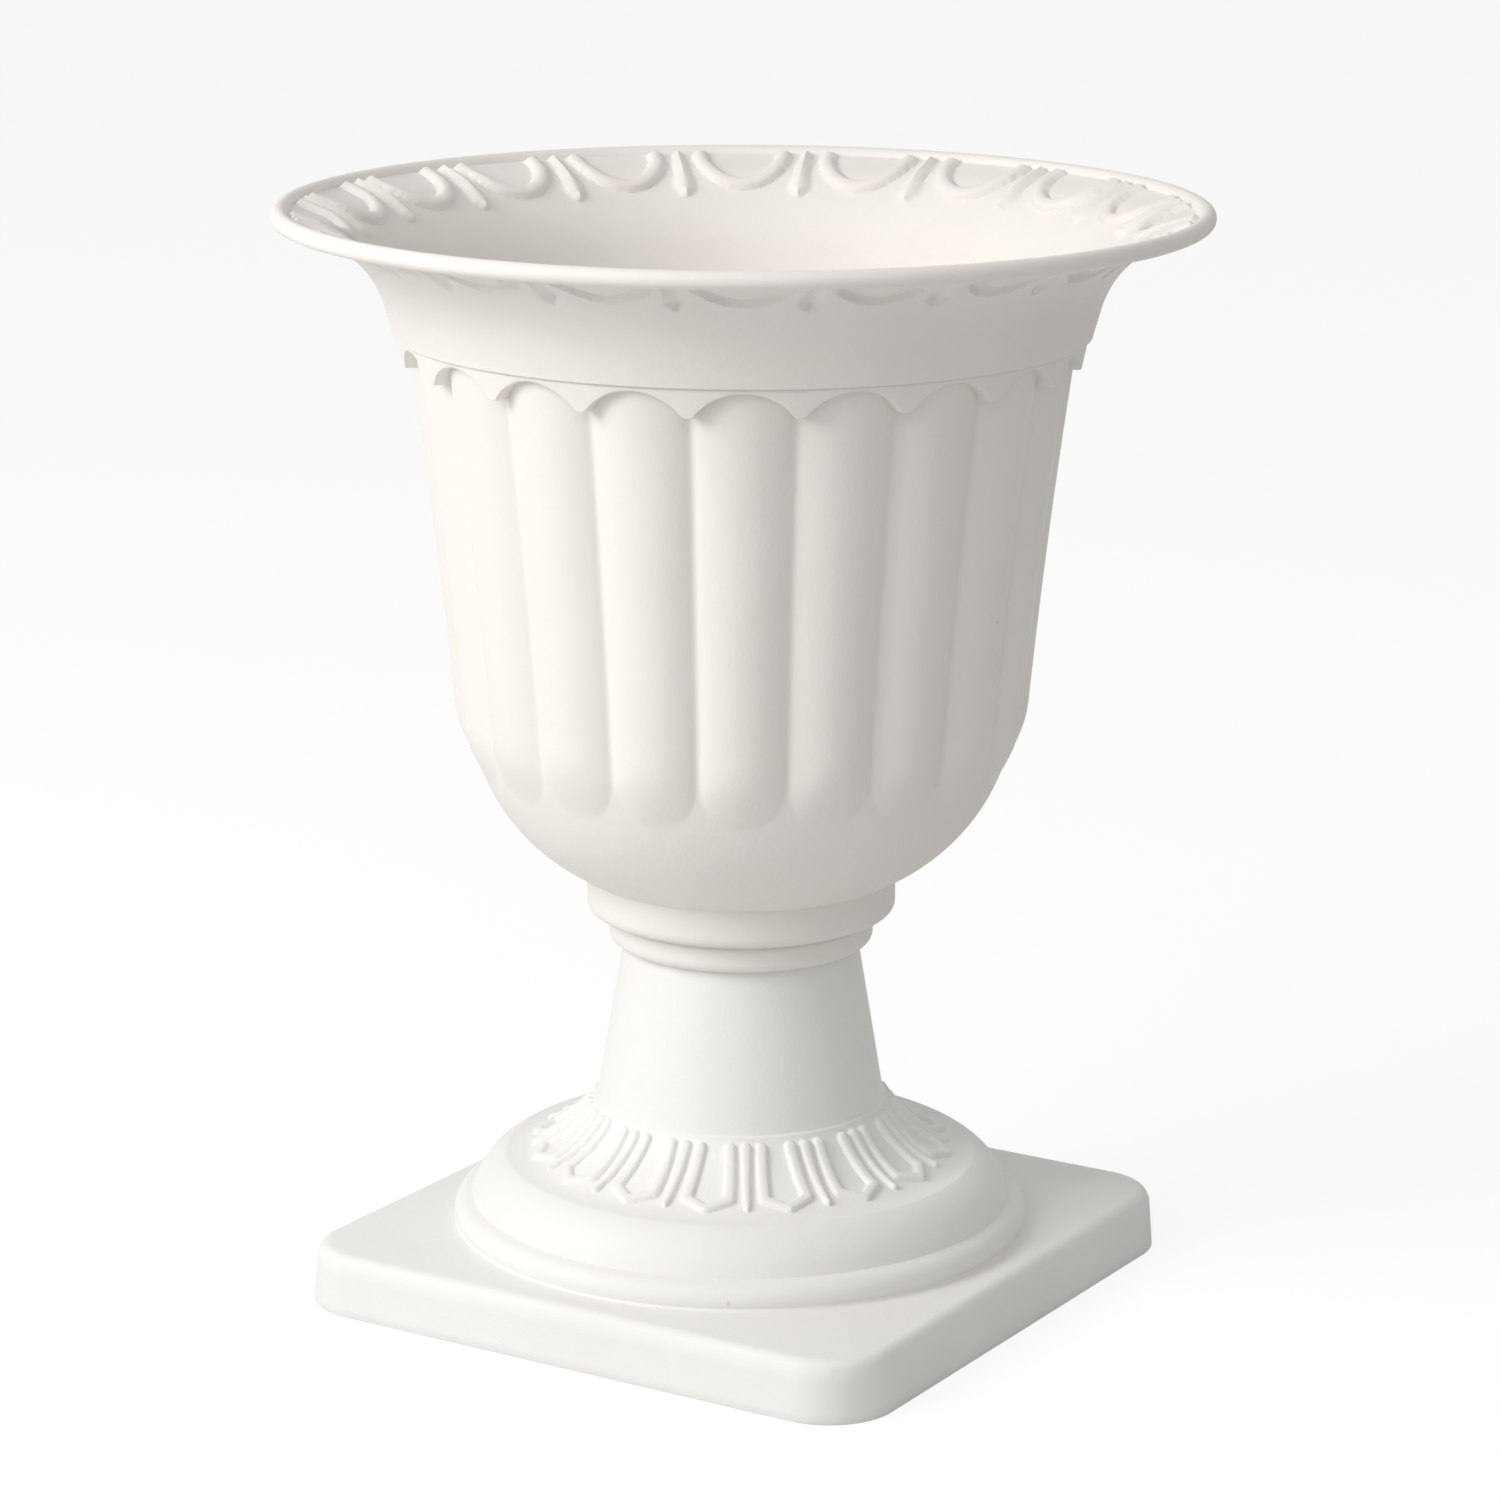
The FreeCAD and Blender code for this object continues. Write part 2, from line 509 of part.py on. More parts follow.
pieces = {
    "pedestal": pedestal(),
    "bowl": bowl(),
    "tie_bolt": spin(tie_bolt(), BOWL_REST_TURN),
    "seal_washer": ring(SEAL_RADIUS, BOLT_RADIUS + WASHER_CLEARANCE, BOWL_FLOOR, SEAL_TOP),
    "head_washer": ring(WASHER_RADIUS, BOLT_RADIUS + WASHER_CLEARANCE, SEAL_TOP, HEAD_SEAT),
    "stem_washer": ring(WASHER_RADIUS, BOLT_RADIUS + WASHER_CLEARANCE, NUT_TOP, NUT_WASHER_TOP),
    "wing_nut": wing_nut(),
}
for index in range(DRAIN_COUNT):
    angle = BOWL_REST_TURN + 360.0 * index / DRAIN_COUNT
    place = (DRAIN_CIRCLE * cos(radians(angle)), DRAIN_CIRCLE * sin(radians(angle)))
    pieces["drain_plug_%d" % (index + 1)] = drain_plug(place[0], place[1], angle + 90)

for name, shape in pieces.items():
    shape.exportStep("parts/%s.step" % name)
    box = shape.BoundBox
    print("%-14s solids %d valid %s volume %.0f  x %.1f..%.1f  z %.1f..%.1f" % (
        name, len(shape.Solids), shape.isValid(), shape.Volume, box.XMin, box.XMax, box.ZMin, box.ZMax))
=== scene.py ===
import math

import bmesh
import bpy
import numpy as np
from mathutils import Matrix, Vector
from mathutils.geometry import delaunay_2d_cdt


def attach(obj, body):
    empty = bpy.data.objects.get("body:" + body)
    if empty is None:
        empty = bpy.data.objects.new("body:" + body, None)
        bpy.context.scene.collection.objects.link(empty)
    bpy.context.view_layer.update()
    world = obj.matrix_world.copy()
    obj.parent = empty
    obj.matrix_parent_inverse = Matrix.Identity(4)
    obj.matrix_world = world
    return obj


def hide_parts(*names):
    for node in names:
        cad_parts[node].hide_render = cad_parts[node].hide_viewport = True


# Urn planter: a moulded bowl with lobed sides, bolted to a hollow pedestal on a square plinth.
# The two mouldings are built here in fine detail; fasteners and plugs stay as the frame has them.

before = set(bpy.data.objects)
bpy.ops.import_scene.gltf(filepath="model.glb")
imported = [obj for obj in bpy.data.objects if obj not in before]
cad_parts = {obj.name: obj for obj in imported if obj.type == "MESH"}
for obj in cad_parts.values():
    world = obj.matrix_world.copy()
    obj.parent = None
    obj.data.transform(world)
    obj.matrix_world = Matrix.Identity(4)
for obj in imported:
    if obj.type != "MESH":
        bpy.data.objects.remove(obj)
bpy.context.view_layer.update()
MM = 0.001                    # sizes below are in millimetres, with the frame's origin and axes

# ---- sizes of the bowl -----------------------------------------------------------------------------
TOTAL_HEIGHT = 457.0
RIM_RADIUS = 191.0            # outside of the rolled lip
LIP_RADIUS = 3.6
BOWL_WALL = 3.0
BOWL_FLOOR = 178.5
BOWL_UNDERSIDE = BOWL_FLOOR - BOWL_WALL
BOWL_TURN = math.radians(-4.0)
BAND_RADIUS = 142.8           # smooth band's lower edge
BAND_HEIGHT = 406.5
BAND_LENGTH = 10.4
BAND_LEAN = math.radians(15.6)
FLARE_RADIUS = 45.0           # sweep from the band to the flange
FLANGE_SLOPE = math.radians(18.0)
BAND_STEP = 2.2               # step in from the band to the skirt
SKIRT_TOP = 404.3             # seam between band and skirt
SKIRT_DROP = 11.8             # seam to the tips between the scallops
SKIRT_LEAN = math.radians(11.0)
SKIRT_SOFT = 0.7              # rounding of the skirt's lower edge
SEAM_DEPTH = 1.1              # how far the band's lower edge tucks in at the seam
SEAM_ROUND = 0.35             # rounding beside the seam
SCALLOP_RISE = 10.2
SCALLOP_TIP = 3.4
LOBE_COUNT = 20
LOBE_HEIGHT = 5.5
LOBE_SHARE = 0.97             # share of the pitch that a lobe fills
LOBE_CHANNEL = 0.05           # softness of the channel between two lobes
LOBE_END = 221.5              # height where the lobes run out
LOBE_FADE = 29.0              # height over which they swell to full depth
LOBE_DOME = 240.0             # height where their rounded lower ends begin
WALL_LEAN = math.radians(6.5)
WALL_SAG = 1.1                # hollow of the leaning wall, at half its height
BELLY_RADIUS = 83.0
BELLY_CENTRE = (30.7, 252.8)
INNER_BELLY_TOP = 244.0       # inside, height where the wall turns into the belly
COLLAR_RADIUS = 64.5
COLLAR_EDGE = 160.6           # lower edge of the collar's upper disc
COLLAR_ROUND = 4.6
COLLAR_GROOVE = 56.4
COLLAR_GROOVE_WIDTH = 2.6
SECOND_DISC = 55.3
SECOND_DISC_ROUND = 1.2
COLLAR_FOOT = 147.2
STEM_FOOT_RADIUS = 60.2
STEM_FOOT_HEIGHT = 80.0
STEM_LEAN = math.radians(9.3)
SOCKET_CLEARANCE = 0.3
SOCKET_STEPS = (4.2, 4.8)     # rise of the socket's two steps over the lower edges of the discs
SOCKET_EDGE = 0.3             # chamfer at the socket's mouth
BOLT_HOLE = 4.3
DRAIN_CIRCLE = 28.0
DRAIN_RADIUS = 6.3
DRAIN_COUNT = 3
STEPS_PER_LOBE = 40
HOLE_STEPS = 48


# ---- meshes turned about the upright axis ------------------------------------------------------------
def grid_faces(rows, columns, first=0):
    """Quads between rows of points, each row a closed ring."""
    faces = []
    for row in range(rows - 1):
        low = first + row * columns
        high = low + columns
        for column in range(columns):
            following = (column + 1) % columns
            faces.append((low + column, low + following, high + following, high + column))
    return faces


def around(columns):
    return np.arange(columns) * 2 * math.pi / columns


def ring_points(radius, height, angles):
    """Points for rows by columns of radius and height, in metres."""
    points = np.stack([radius * np.cos(angles), radius * np.sin(angles), height], -1)
    return points.reshape(-1, 3) * MM


class TurnedRows:
    """Rows of points round the upright axis; a row is one radius and height, or one per angle."""

    def __init__(self, angles):
        self.angles = angles
        self.radii = []
        self.heights = []

    def add(self, radius, height):
        radius, height = np.atleast_1d(radius), np.atleast_1d(height)
        if radius.ndim == 1:
            radius, height = radius[:, None], height[:, None]
        shape = (radius.shape[0], len(self.angles))
        self.radii.append(np.broadcast_to(radius, shape))
        self.heights.append(np.broadcast_to(height, shape))

    def part(self):
        radius, height = np.concatenate(self.radii), np.concatenate(self.heights)
        return ring_points(radius, height, self.angles), grid_faces(len(radius), len(self.angles))

    def end_ring(self, index):
        """First (0) or last (-1) row, seen from above, in metres."""
        radius, height = self.radii[index][index], self.heights[index][index]
        return ring_points(radius[None, :], height[None, :], self.angles)[:, :2]


def arc_rows(centre, radius, start, end, steps):
    """Section points along an arc; angles in degrees from the outward direction."""
    angle = np.radians(np.linspace(start, end, steps))
    return centre[0] + radius * np.cos(angle), centre[1] + radius * np.sin(angle)


def line_rows(start, end, steps):
    share = np.linspace(0, 1, steps)
    return start[0] + (end[0] - start[0]) * share, start[1] + (end[1] - start[1]) * share


def turned_point(x, y, turn):
    return x * math.cos(turn) - y * math.sin(turn), x * math.sin(turn) + y * math.cos(turn)


def circle_points(x, y, radius):
    turns = [2 * math.pi * index / HOLE_STEPS for index in range(HOLE_STEPS)]
    return [(x + radius * math.cos(turn), y + radius * math.sin(turn)) for turn in turns]


def flat_face(loops, height, keep):
    """Triangles inside closed loops of flat points, where keep(centre of the triangle) says so."""
    points = []
    edges = []
    for loop in loops:
        first = len(points)
        points.extend(Vector(p) for p in loop)
        edges.extend((first + i, first + (i + 1) % len(loop)) for i in range(len(loop)))
    flat, _, faces, _, _, _ = delaunay_2d_cdt(points, edges, [], 0, 1e-9)
    kept = []
    for face in faces:
        centre = sum((flat[i] for i in face), Vector((0, 0))) / len(face)
        if keep(centre):
            kept.append(tuple(face))
    return [(p.x, p.y, height) for p in flat], kept


def holed_disc(outer, holes, height):
    """Flat plate from an outer ring of points to round holes."""
    loops = [outer] + [circle_points(*hole) for hole in holes]

    def solid(centre):
        return all((centre - Vector((x, y))).length > radius * 0.999 for x, y, radius in holes)

    return flat_face(loops, height, solid)


def flat_between(outer, inner, height):
    """Flat face between an outer and an inner closed line of points."""
    reach = min(math.hypot(*p) for p in inner) * 0.9999
    return flat_face([outer, inner], height, lambda centre: centre.length > reach)


def hole_walls(holes, low, high):
    points = []
    faces = []
    for hole in holes:
        first = len(points)
        for height in (low, high):
            points.extend((x, y, height) for x, y in circle_points(*hole))
        faces.extend(grid_faces(2, HOLE_STEPS, first))
    return points, faces


def floor_holes(count, radius, start=0.0):
    """The bolt's hole and a circle of drain holes, each as x, y and radius in metres."""
    holes = [(0.0, 0.0, BOLT_HOLE * MM)]
    for index in range(count):
        turn = start + 2 * math.pi * index / count
        x, y = DRAIN_CIRCLE * math.cos(turn), DRAIN_CIRCLE * math.sin(turn)
        holes.append((x * MM, y * MM, radius * MM))
    return holes


def build_piece(name, parts, sharp_degrees=40.0):
    """One smooth-shaded object from several (points, faces) parts, welded where they meet."""
    points = []
    faces = []
    for part_points, part_faces in parts:
        first = len(points)
        points.extend(tuple(map(float, p)) for p in part_points)
        faces.extend(tuple(first + i for i in face) for face in part_faces)
    mesh = bpy.data.meshes.new(name)
    mesh.from_pydata(points, [], faces)
    work = bmesh.new()
    work.from_mesh(mesh)
    bmesh.ops.remove_doubles(work, verts=work.verts, dist=1e-6)
    bmesh.ops.recalc_face_normals(work, faces=work.faces)
    work.to_mesh(mesh)
    work.free()
    mesh.shade_smooth()
    mesh.set_sharp_from_angle(angle=math.radians(sharp_degrees))
    piece = bpy.data.objects.new(name, mesh)
    bpy.context.scene.collection.objects.link(piece)
    return piece


def smooth_step(value):
    value = np.clip(value, 0, 1)
    return value * value * (3 - 2 * value)


def bead(distance, half_width, height):
    """Rounded raised bead across a distance from its middle, with soft feet."""
    share = np.clip(np.abs(distance) / half_width, 0, 1)
    return height * np.sqrt(np.clip(1 - share ** 2.6, 0, 1)) * smooth_step((1 - share) / 0.22)


def nearest_turn(angle, count):
    """Turn away from the nearest of so many evenly spaced marks, never below zero."""
    pitch = 2 * math.pi / count
    return np.abs((angle + pitch / 2) % pitch - pitch / 2)


# ---- bowl ---------------------------------------------------------------------------------------------
def wall_radius(height, inset=0.0):
    """Radius of the wall between the lobes: round belly below, leaning wall above."""
    sweep = BELLY_RADIUS - inset
    start = BELLY_CENTRE[1] - sweep * math.sin(WALL_LEAN)
    belly = BELLY_CENTRE[0] + np.sqrt(np.clip(sweep ** 2 - (BELLY_CENTRE[1] - height) ** 2, 0, None))
    rise = np.clip((height - start) / (SKIRT_TOP - start), 0, 1)
    wall = BELLY_CENTRE[0] + sweep * math.cos(WALL_LEAN) + (height - start) * math.tan(WALL_LEAN)
    wall = wall - 4 * WALL_SAG * rise * (1 - rise)
    return np.where(height < start, belly, wall)


def lobe_relief(angle, height):
    """How far the lobes stand out: round across, and ending in a dome below."""
    offset = nearest_turn(angle, LOBE_COUNT) / (math.pi / LOBE_COUNT)
    dome = np.clip((LOBE_DOME - height) / (LOBE_DOME - LOBE_END), 0, 1)
    width = LOBE_SHARE * np.sqrt(np.clip(1 - dome ** 2, 1e-6, 1))
    crest = LOBE_HEIGHT * smooth_step((height - LOBE_END) / LOBE_FADE) ** 0.7
    across = np.clip(1 - (offset / width) ** 2, 0, 1) ** 0.85
    return crest * (np.sqrt(across ** 2 + LOBE_CHANNEL ** 2) - LOBE_CHANNEL)


def scallop_edge(angle):
    """Height of the skirt's lower edge: one arch over each lobe, blunt tips between."""
    outer = BAND_RADIUS - BAND_STEP
    offset = nearest_turn(angle, LOBE_COUNT) * outer
    half_span = outer * math.sin(math.pi / LOBE_COUNT) - SCALLOP_TIP / 2
    arch = (half_span ** 2 + SCALLOP_RISE ** 2) / (2 * SCALLOP_RISE)
    rise = np.sqrt(np.clip(arch ** 2 - offset ** 2, 0, None)) - (arch - SCALLOP_RISE)
    return SKIRT_TOP - SKIRT_DROP + np.clip(rise, 0, None)


BAND_TOP = (BAND_RADIUS + BAND_LENGTH * math.sin(BAND_LEAN),
            BAND_HEIGHT + BAND_LENGTH * math.cos(BAND_LEAN))
FLARE_CENTRE = (BAND_TOP[0] + FLARE_RADIUS * math.cos(BAND_LEAN),
                BAND_TOP[1] - FLARE_RADIUS * math.sin(BAND_LEAN))
LIP_CENTRE = (RIM_RADIUS - LIP_RADIUS, TOTAL_HEIGHT - LIP_RADIUS)
LIP_UNDER = -120.0            # degrees on the lip's round where the flange meets it from below
EGG_HALF_WIDTH = 18.3         # middle of the U-shaped bead from the egg's middle, under the lip
EGG_DEPTH = 25.6              # middle of the bead below the lip, at the U's bottom
EGG_BEAD = 3.8                # half width of the bead
DART_END = 33.5               # tip of the dart below the lip
DART_WIDEST = 28.5            # where it is widest, below the lip
DART_HALF_WIDTH = 4.5
DART_NECK = 2.5               # half width under the lip
RIM_RELIEF = 2.7
RIM_RELIEF_START = 1.5        # length over which the relief rises from the lip
PANEL_RECESS = 0.8            # panel inside each U, below the plain flare
PANEL_EDGE = 0.24             # width of the slope into the panel, as a share of the U


def rim_relief(angle, radius, below_lip):
    """Egg-and-dart relief: height over the plain flare at a distance below the lip."""
    turn = nearest_turn(angle, LOBE_COUNT)
    u = turn * radius / EGG_HALF_WIDTH
    v = below_lip / EGG_DEPTH
    level = np.sqrt(u ** 2 + v ** 2) + 1e-6
    slope = np.sqrt((u / EGG_HALF_WIDTH) ** 2 + (v / EGG_DEPTH) ** 2) / level
    relief = bead((level - 1) / np.maximum(slope, 1e-6), EGG_BEAD, RIM_RELIEF)
    relief = relief - PANEL_RECESS * smooth_step((1 - level) / PANEL_EDGE)
    from_dart = (math.pi / LOBE_COUNT - turn) * radius
    taper = np.clip(below_lip / DART_WIDEST, 0, 1)
    half = DART_NECK + (DART_HALF_WIDTH - DART_NECK) * taper
    point = np.clip((DART_END - below_lip) / (DART_END - DART_WIDEST), 0, 1)
    ridge = np.clip(1 - from_dart / np.maximum(half * point, 1e-3), 0, 1)
    dart = RIM_RELIEF * np.sqrt(ridge) * smooth_step(point * 2)
    return np.maximum(relief, dart)


def relieved_flare(inset, angles, lip_point):
    """Flange and flare from lip to band, pushed towards the inside by the relief."""
    flange_steps, flare_steps = 15, 52
    first, last = 90 + math.degrees(FLANGE_SLOPE), 180 - math.degrees(BAND_LEAN)
    turn_r, turn_z = arc_rows(FLARE_CENTRE, FLARE_RADIUS + inset, first, last, flare_steps)
    flat_r, flat_z = line_rows(lip_point, (turn_r[0], turn_z[0]), flange_steps)
    r = np.concatenate([flat_r[:-1], turn_r])
    z = np.concatenate([flat_z[:-1], turn_z])
    flange_length = math.hypot(lip_point[0] - turn_r[0], lip_point[1] - turn_z[0])
    flare_turn = np.radians(np.linspace(0, last - first, flare_steps))
    below = np.concatenate([np.linspace(0, flange_length, flange_steps)[:-1],
                            flange_length + (FLARE_RADIUS + BOWL_WALL) * flare_turn])
    facing = np.radians(np.concatenate([np.full(flange_steps - 1, first),
                                        np.linspace(first, last, flare_steps)]))[:, None]
    relief = rim_relief(angles[None, :], r[:, None], below[:, None])
    relief = relief * smooth_step(below / RIM_RELIEF_START)[:, None]
    return r[:, None] + np.cos(facing) * relief, z[:, None] + np.sin(facing) * relief


def stem_radius(height):
    return STEM_FOOT_RADIUS - (height - STEM_FOOT_HEIGHT) * math.tan(STEM_LEAN)


def add_collar(rows):
    """Socket inside the collar, from the floor's underside down, then the two discs outside it."""
    mouth = stem_radius(COLLAR_FOOT) + SOCKET_CLEARANCE
    skin = SECOND_DISC - BOWL_WALL
    socket = COLLAR_RADIUS - BOWL_WALL
    rows.add(*line_rows((socket, BOWL_UNDERSIDE), (socket, COLLAR_EDGE + SOCKET_STEPS[0]), 4))
    rows.add(*line_rows((skin, COLLAR_EDGE), (skin, COLLAR_FOOT + SOCKET_STEPS[1]), 4))
    rows.add(*line_rows((mouth, COLLAR_FOOT + BOWL_WALL), (mouth, COLLAR_FOOT + SOCKET_EDGE), 3))
    rows.add(mouth + SOCKET_EDGE, COLLAR_FOOT)
    lower_round = (SECOND_DISC - COLLAR_ROUND, COLLAR_FOOT + COLLAR_ROUND)
    rows.add(*arc_rows(lower_round, COLLAR_ROUND, -90, 0, 9))
    shoulder = COLLAR_EDGE - COLLAR_GROOVE_WIDTH - SECOND_DISC_ROUND
    rows.add(*arc_rows((SECOND_DISC - SECOND_DISC_ROUND, shoulder), SECOND_DISC_ROUND, 0, 70, 5))
    rows.add(COLLAR_GROOVE - 0.9, COLLAR_EDGE - 1.5)
    rows.add(COLLAR_GROOVE - 0.5, COLLAR_EDGE - 0.5)
    upper_round = (COLLAR_RADIUS - COLLAR_ROUND, COLLAR_EDGE + COLLAR_ROUND)
    rows.add(*arc_rows(upper_round, COLLAR_ROUND, -90, 0, 9))


def add_lobed_wall(rows, edge):
    """Collar's side, round belly, then the lobed wall up to the skirt's scalloped edge."""
    angles = rows.angles[None, :]
    reach = COLLAR_RADIUS - BELLY_CENTRE[0]
    collar_top = BELLY_CENTRE[1] - math.sqrt(BELLY_RADIUS ** 2 - reach ** 2)
    collar_side = COLLAR_EDGE + COLLAR_ROUND + 2
    rows.add(*line_rows((COLLAR_RADIUS, collar_side), (COLLAR_RADIUS, collar_top - 0.4), 5))
    belly_z = np.linspace(collar_top + 0.3, LOBE_END, 34)
    rows.add(wall_radius(belly_z), belly_z)
    fade_z = np.linspace(LOBE_END, LOBE_END + LOBE_FADE + 6, 34)[1:]
    fade_r = wall_radius(fade_z)[:, None] + lobe_relief(angles, fade_z[:, None])
    rows.add(fade_r, np.broadcast_to(fade_z[:, None], fade_r.shape))
    share = np.linspace(0, 1, 40)[1:, None]
    wall_z = fade_z[-1] + share * (edge[None, :] - fade_z[-1])
    rows.add(wall_radius(wall_z) + lobe_relief(angles, wall_z), wall_z)


def add_skirt(rows, edge):
    """Step out with a rounded edge, then the skirt's leaning face up to the seam."""
    foot = BAND_RADIUS - BAND_STEP - (SKIRT_TOP - edge) * math.tan(SKIRT_LEAN)
    for out, up in ((-SKIRT_SOFT, 0.0), (-0.21, 0.084), (0.0, 0.35), (0.03, SKIRT_SOFT)):
        rows.add((foot + out)[None, :], (edge + up)[None, :])
    share = np.linspace(0, 1, 8)[1:, None]
    face_z = edge[None, :] + SKIRT_SOFT + share * (SKIRT_TOP - 0.5 - SKIRT_SOFT - edge[None, :])
    rows.add(BAND_RADIUS - BAND_STEP - (SKIRT_TOP - face_z) * math.tan(SKIRT_LEAN), face_z)
    rows.add(BAND_RADIUS - BAND_STEP - SEAM_ROUND, SKIRT_TOP)


def add_rim(rows):
    """Band's tucked edge, band, outside of the flare, rolled lip and inside of the flare."""
    rows.add(BAND_RADIUS - SEAM_DEPTH, SKIRT_TOP + 0.25)
    rows.add(BAND_RADIUS - SEAM_ROUND, SKIRT_TOP + 0.75)
    rows.add(*line_rows((BAND_RADIUS, BAND_HEIGHT), BAND_TOP, 8))
    under = math.radians(LIP_UNDER)
    lip_start = (LIP_CENTRE[0] + LIP_RADIUS * math.cos(under),
                 LIP_CENTRE[1] + LIP_RADIUS * math.sin(under))
    outer_r, outer_z = relieved_flare(0.0, rows.angles, lip_start)
    rows.add(outer_r[::-1][1:], outer_z[::-1][1:])
    rows.add(*[row[1:] for row in arc_rows(LIP_CENTRE, LIP_RADIUS, LIP_UNDER, 180, 26)])
    lip_end = (LIP_CENTRE[0] - LIP_RADIUS, LIP_CENTRE[1])
    inner_r, inner_z = relieved_flare(BOWL_WALL, rows.angles, lip_end)
    rows.add(inner_r[1:], inner_z[1:])


def add_bowl_inside(rows):
    """Inside of the band, the shoulder under it, the smooth wall and the belly down to the floor."""
    shoulder_z = SKIRT_TOP - SKIRT_DROP + SCALLOP_RISE - BOWL_WALL
    shoulder = (wall_radius(np.array(shoulder_z), BOWL_WALL), shoulder_z)
    rows.add(*line_rows((BAND_RADIUS - BOWL_WALL, BAND_HEIGHT), shoulder, 5))
    wall_z = np.linspace(shoulder_z, INNER_BELLY_TOP, 26)[1:]
    rows.add(wall_radius(wall_z, BOWL_WALL), wall_z)
    belly_z = np.linspace(INNER_BELLY_TOP, BOWL_FLOOR + 0.4, 30)[1:]
    rows.add(wall_radius(belly_z, BOWL_WALL), belly_z)
    rows.add(float(wall_radius(np.array(BOWL_FLOOR), BOWL_WALL)) - 0.8, BOWL_FLOOR)


def make_bowl():
    rows = TurnedRows(around(LOBE_COUNT * STEPS_PER_LOBE))
    edge = scallop_edge(rows.angles)
    add_collar(rows)
    add_lobed_wall(rows, edge)
    add_skirt(rows, edge)
    add_rim(rows)
    add_bowl_inside(rows)
    holes = floor_holes(DRAIN_COUNT, DRAIN_RADIUS)
    piece = build_piece("bowl_shell", [
        rows.part(),
        holed_disc(rows.end_ring(-1), holes, BOWL_FLOOR * MM),
        holed_disc(rows.end_ring(0), holes, BOWL_UNDERSIDE * MM),
        hole_walls(holes, BOWL_UNDERSIDE * MM, BOWL_FLOOR * MM),
    ])
    piece.data.transform(Matrix.Rotation(BOWL_TURN, 4, "Z"))
    return piece


bowl_shell = make_bowl()
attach(bowl_shell, "bowl_unit")
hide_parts("bowl")


# ---- pedestal -----------------------------------------------------------------------------------------
PLINTH_WIDTH = 276.0
PLINTH_HEIGHT = 25.5
PLINTH_DRAFT = 2.0
PLINTH_CORNER = 30.0
PLINTH_EDGE = 5.0             # rounding of the top edge
PEDESTAL_WALL = 3.5
FOOT_RING_RADIUS = 121.0
FOOT_RING_HEIGHT = 12.0
GROOVE_RADIUS = 113.5         # groove between the foot's two rounds
RING_TOP = PLINTH_HEIGHT + FOOT_RING_HEIGHT
PLINTH_DECK = PLINTH_HEIGHT - PEDESTAL_WALL
BELL_FOOT = (99.0, 54.5)
BELL_TOP = (62.0, 78.2)
BELL_SAG = 0.13               # how hollow the bell is, as a share of its span
RING_SHOULDER = 0.12          # how full the upper round is, as a share of its span
LEAF_COUNT = 16
LEAF_TOP = 3.6                # upper end of the leaves, down the bell from the ledge
LEAF_TOP_HALF = 6.1           # half width of a leaf at its upper end
LEAF_WIDEST = 28.5            # where the sides turn in to the point, down the bell
LEAF_WIDEST_HALF = 8.9
LEAF_POINT = 34.1             # tip of the leaf, down the bell
BAR_END = 33.5                # tip of the plain bar between two leaves, down the bell
BAR_TAPER = 0.45
BAR_HALF_WIDTH = 2.75
BAR_RELIEF = 2.1
STEM_DRAINS = 6
STEM_DRAIN_RADIUS = 6.0
WEB_COUNT = 4
WEB_HALF = 1.5
WEB_SETBACK = 2.0             # web's lower edge above the floor
WEB_GAP = 0.3
WEB_OVERLAP = 1.2             # how far a web runs up into the plinth's deck
SIDE_STEPS = 16
CORNER_STEPS = 56
FOOT_STEPS = 960
INNER_STEPS = 240


def three_point_arc(start, middle, end, steps):
    """Section points of the arc through three points."""
    (ax, ay), (bx, by), (cx, cy) = start, middle, end
    span = 2 * (ax * (by - cy) + bx * (cy - ay) + cx * (ay - by))
    a, b, c = ax ** 2 + ay ** 2, bx ** 2 + by ** 2, cx ** 2 + cy ** 2
    ux = (a * (by - cy) + b * (cy - ay) + c * (ay - by)) / span
    uy = (a * (cx - bx) + b * (ax - cx) + c * (bx - ax)) / span
    radius = math.hypot(ax - ux, ay - uy)
    first, through, last = (math.atan2(y - uy, x - ux) for x, y in (start, middle, end))
    sweep = (last - first) % (2 * math.pi)
    if (through - first) % (2 * math.pi) > sweep:
        sweep -= 2 * math.pi
    angle = first + sweep * np.linspace(0, 1, steps)
    return ux + radius * np.cos(angle), uy + radius * np.sin(angle)


def offset_middle(start, end, share):
    """Middle of a sweep between two section points, pushed out by a share of the span."""
    run = end[0] - start[0]
    fall = start[1] - end[1]
    return (start[0] + end[0]) / 2 + share * fall, (start[1] + end[1]) / 2 + share * run


def square_ring(width, corner, height):
    """Rounded square with as many points on every ring, starting on the +X side."""
    half = width / 2
    flat = half - corner
    points = []
    for quarter in range(4):
        turn = quarter * math.pi / 2
        for index in range(CORNER_STEPS):
            angle = math.pi / 2 * index / (CORNER_STEPS - 1)
            x, y = flat + corner * math.cos(angle), flat + corner * math.sin(angle)
            points.append(turned_point(x, y, turn))
        for index in range(1, SIDE_STEPS):
            points.append(turned_point(flat - 2 * flat * index / SIDE_STEPS, half, turn))
    return np.array([(x, y, height) for x, y in points])


def segment_bar(x, y, start, end, taper=0.0):
    """Relief of a rounded bar along a straight run in the unrolled leaf plane."""
    dx, dy = end[0] - start[0], end[1] - start[1]
    length = math.hypot(dx, dy)
    along = np.clip(((x - start[0]) * dx + (y - start[1]) * dy) / length ** 2, 0, 1)
    away = np.hypot(x - start[0] - along * dx, y - start[1] - along * dy)
    return bead(away, BAR_HALF_WIDTH * (1 - taper * along), BAR_RELIEF)


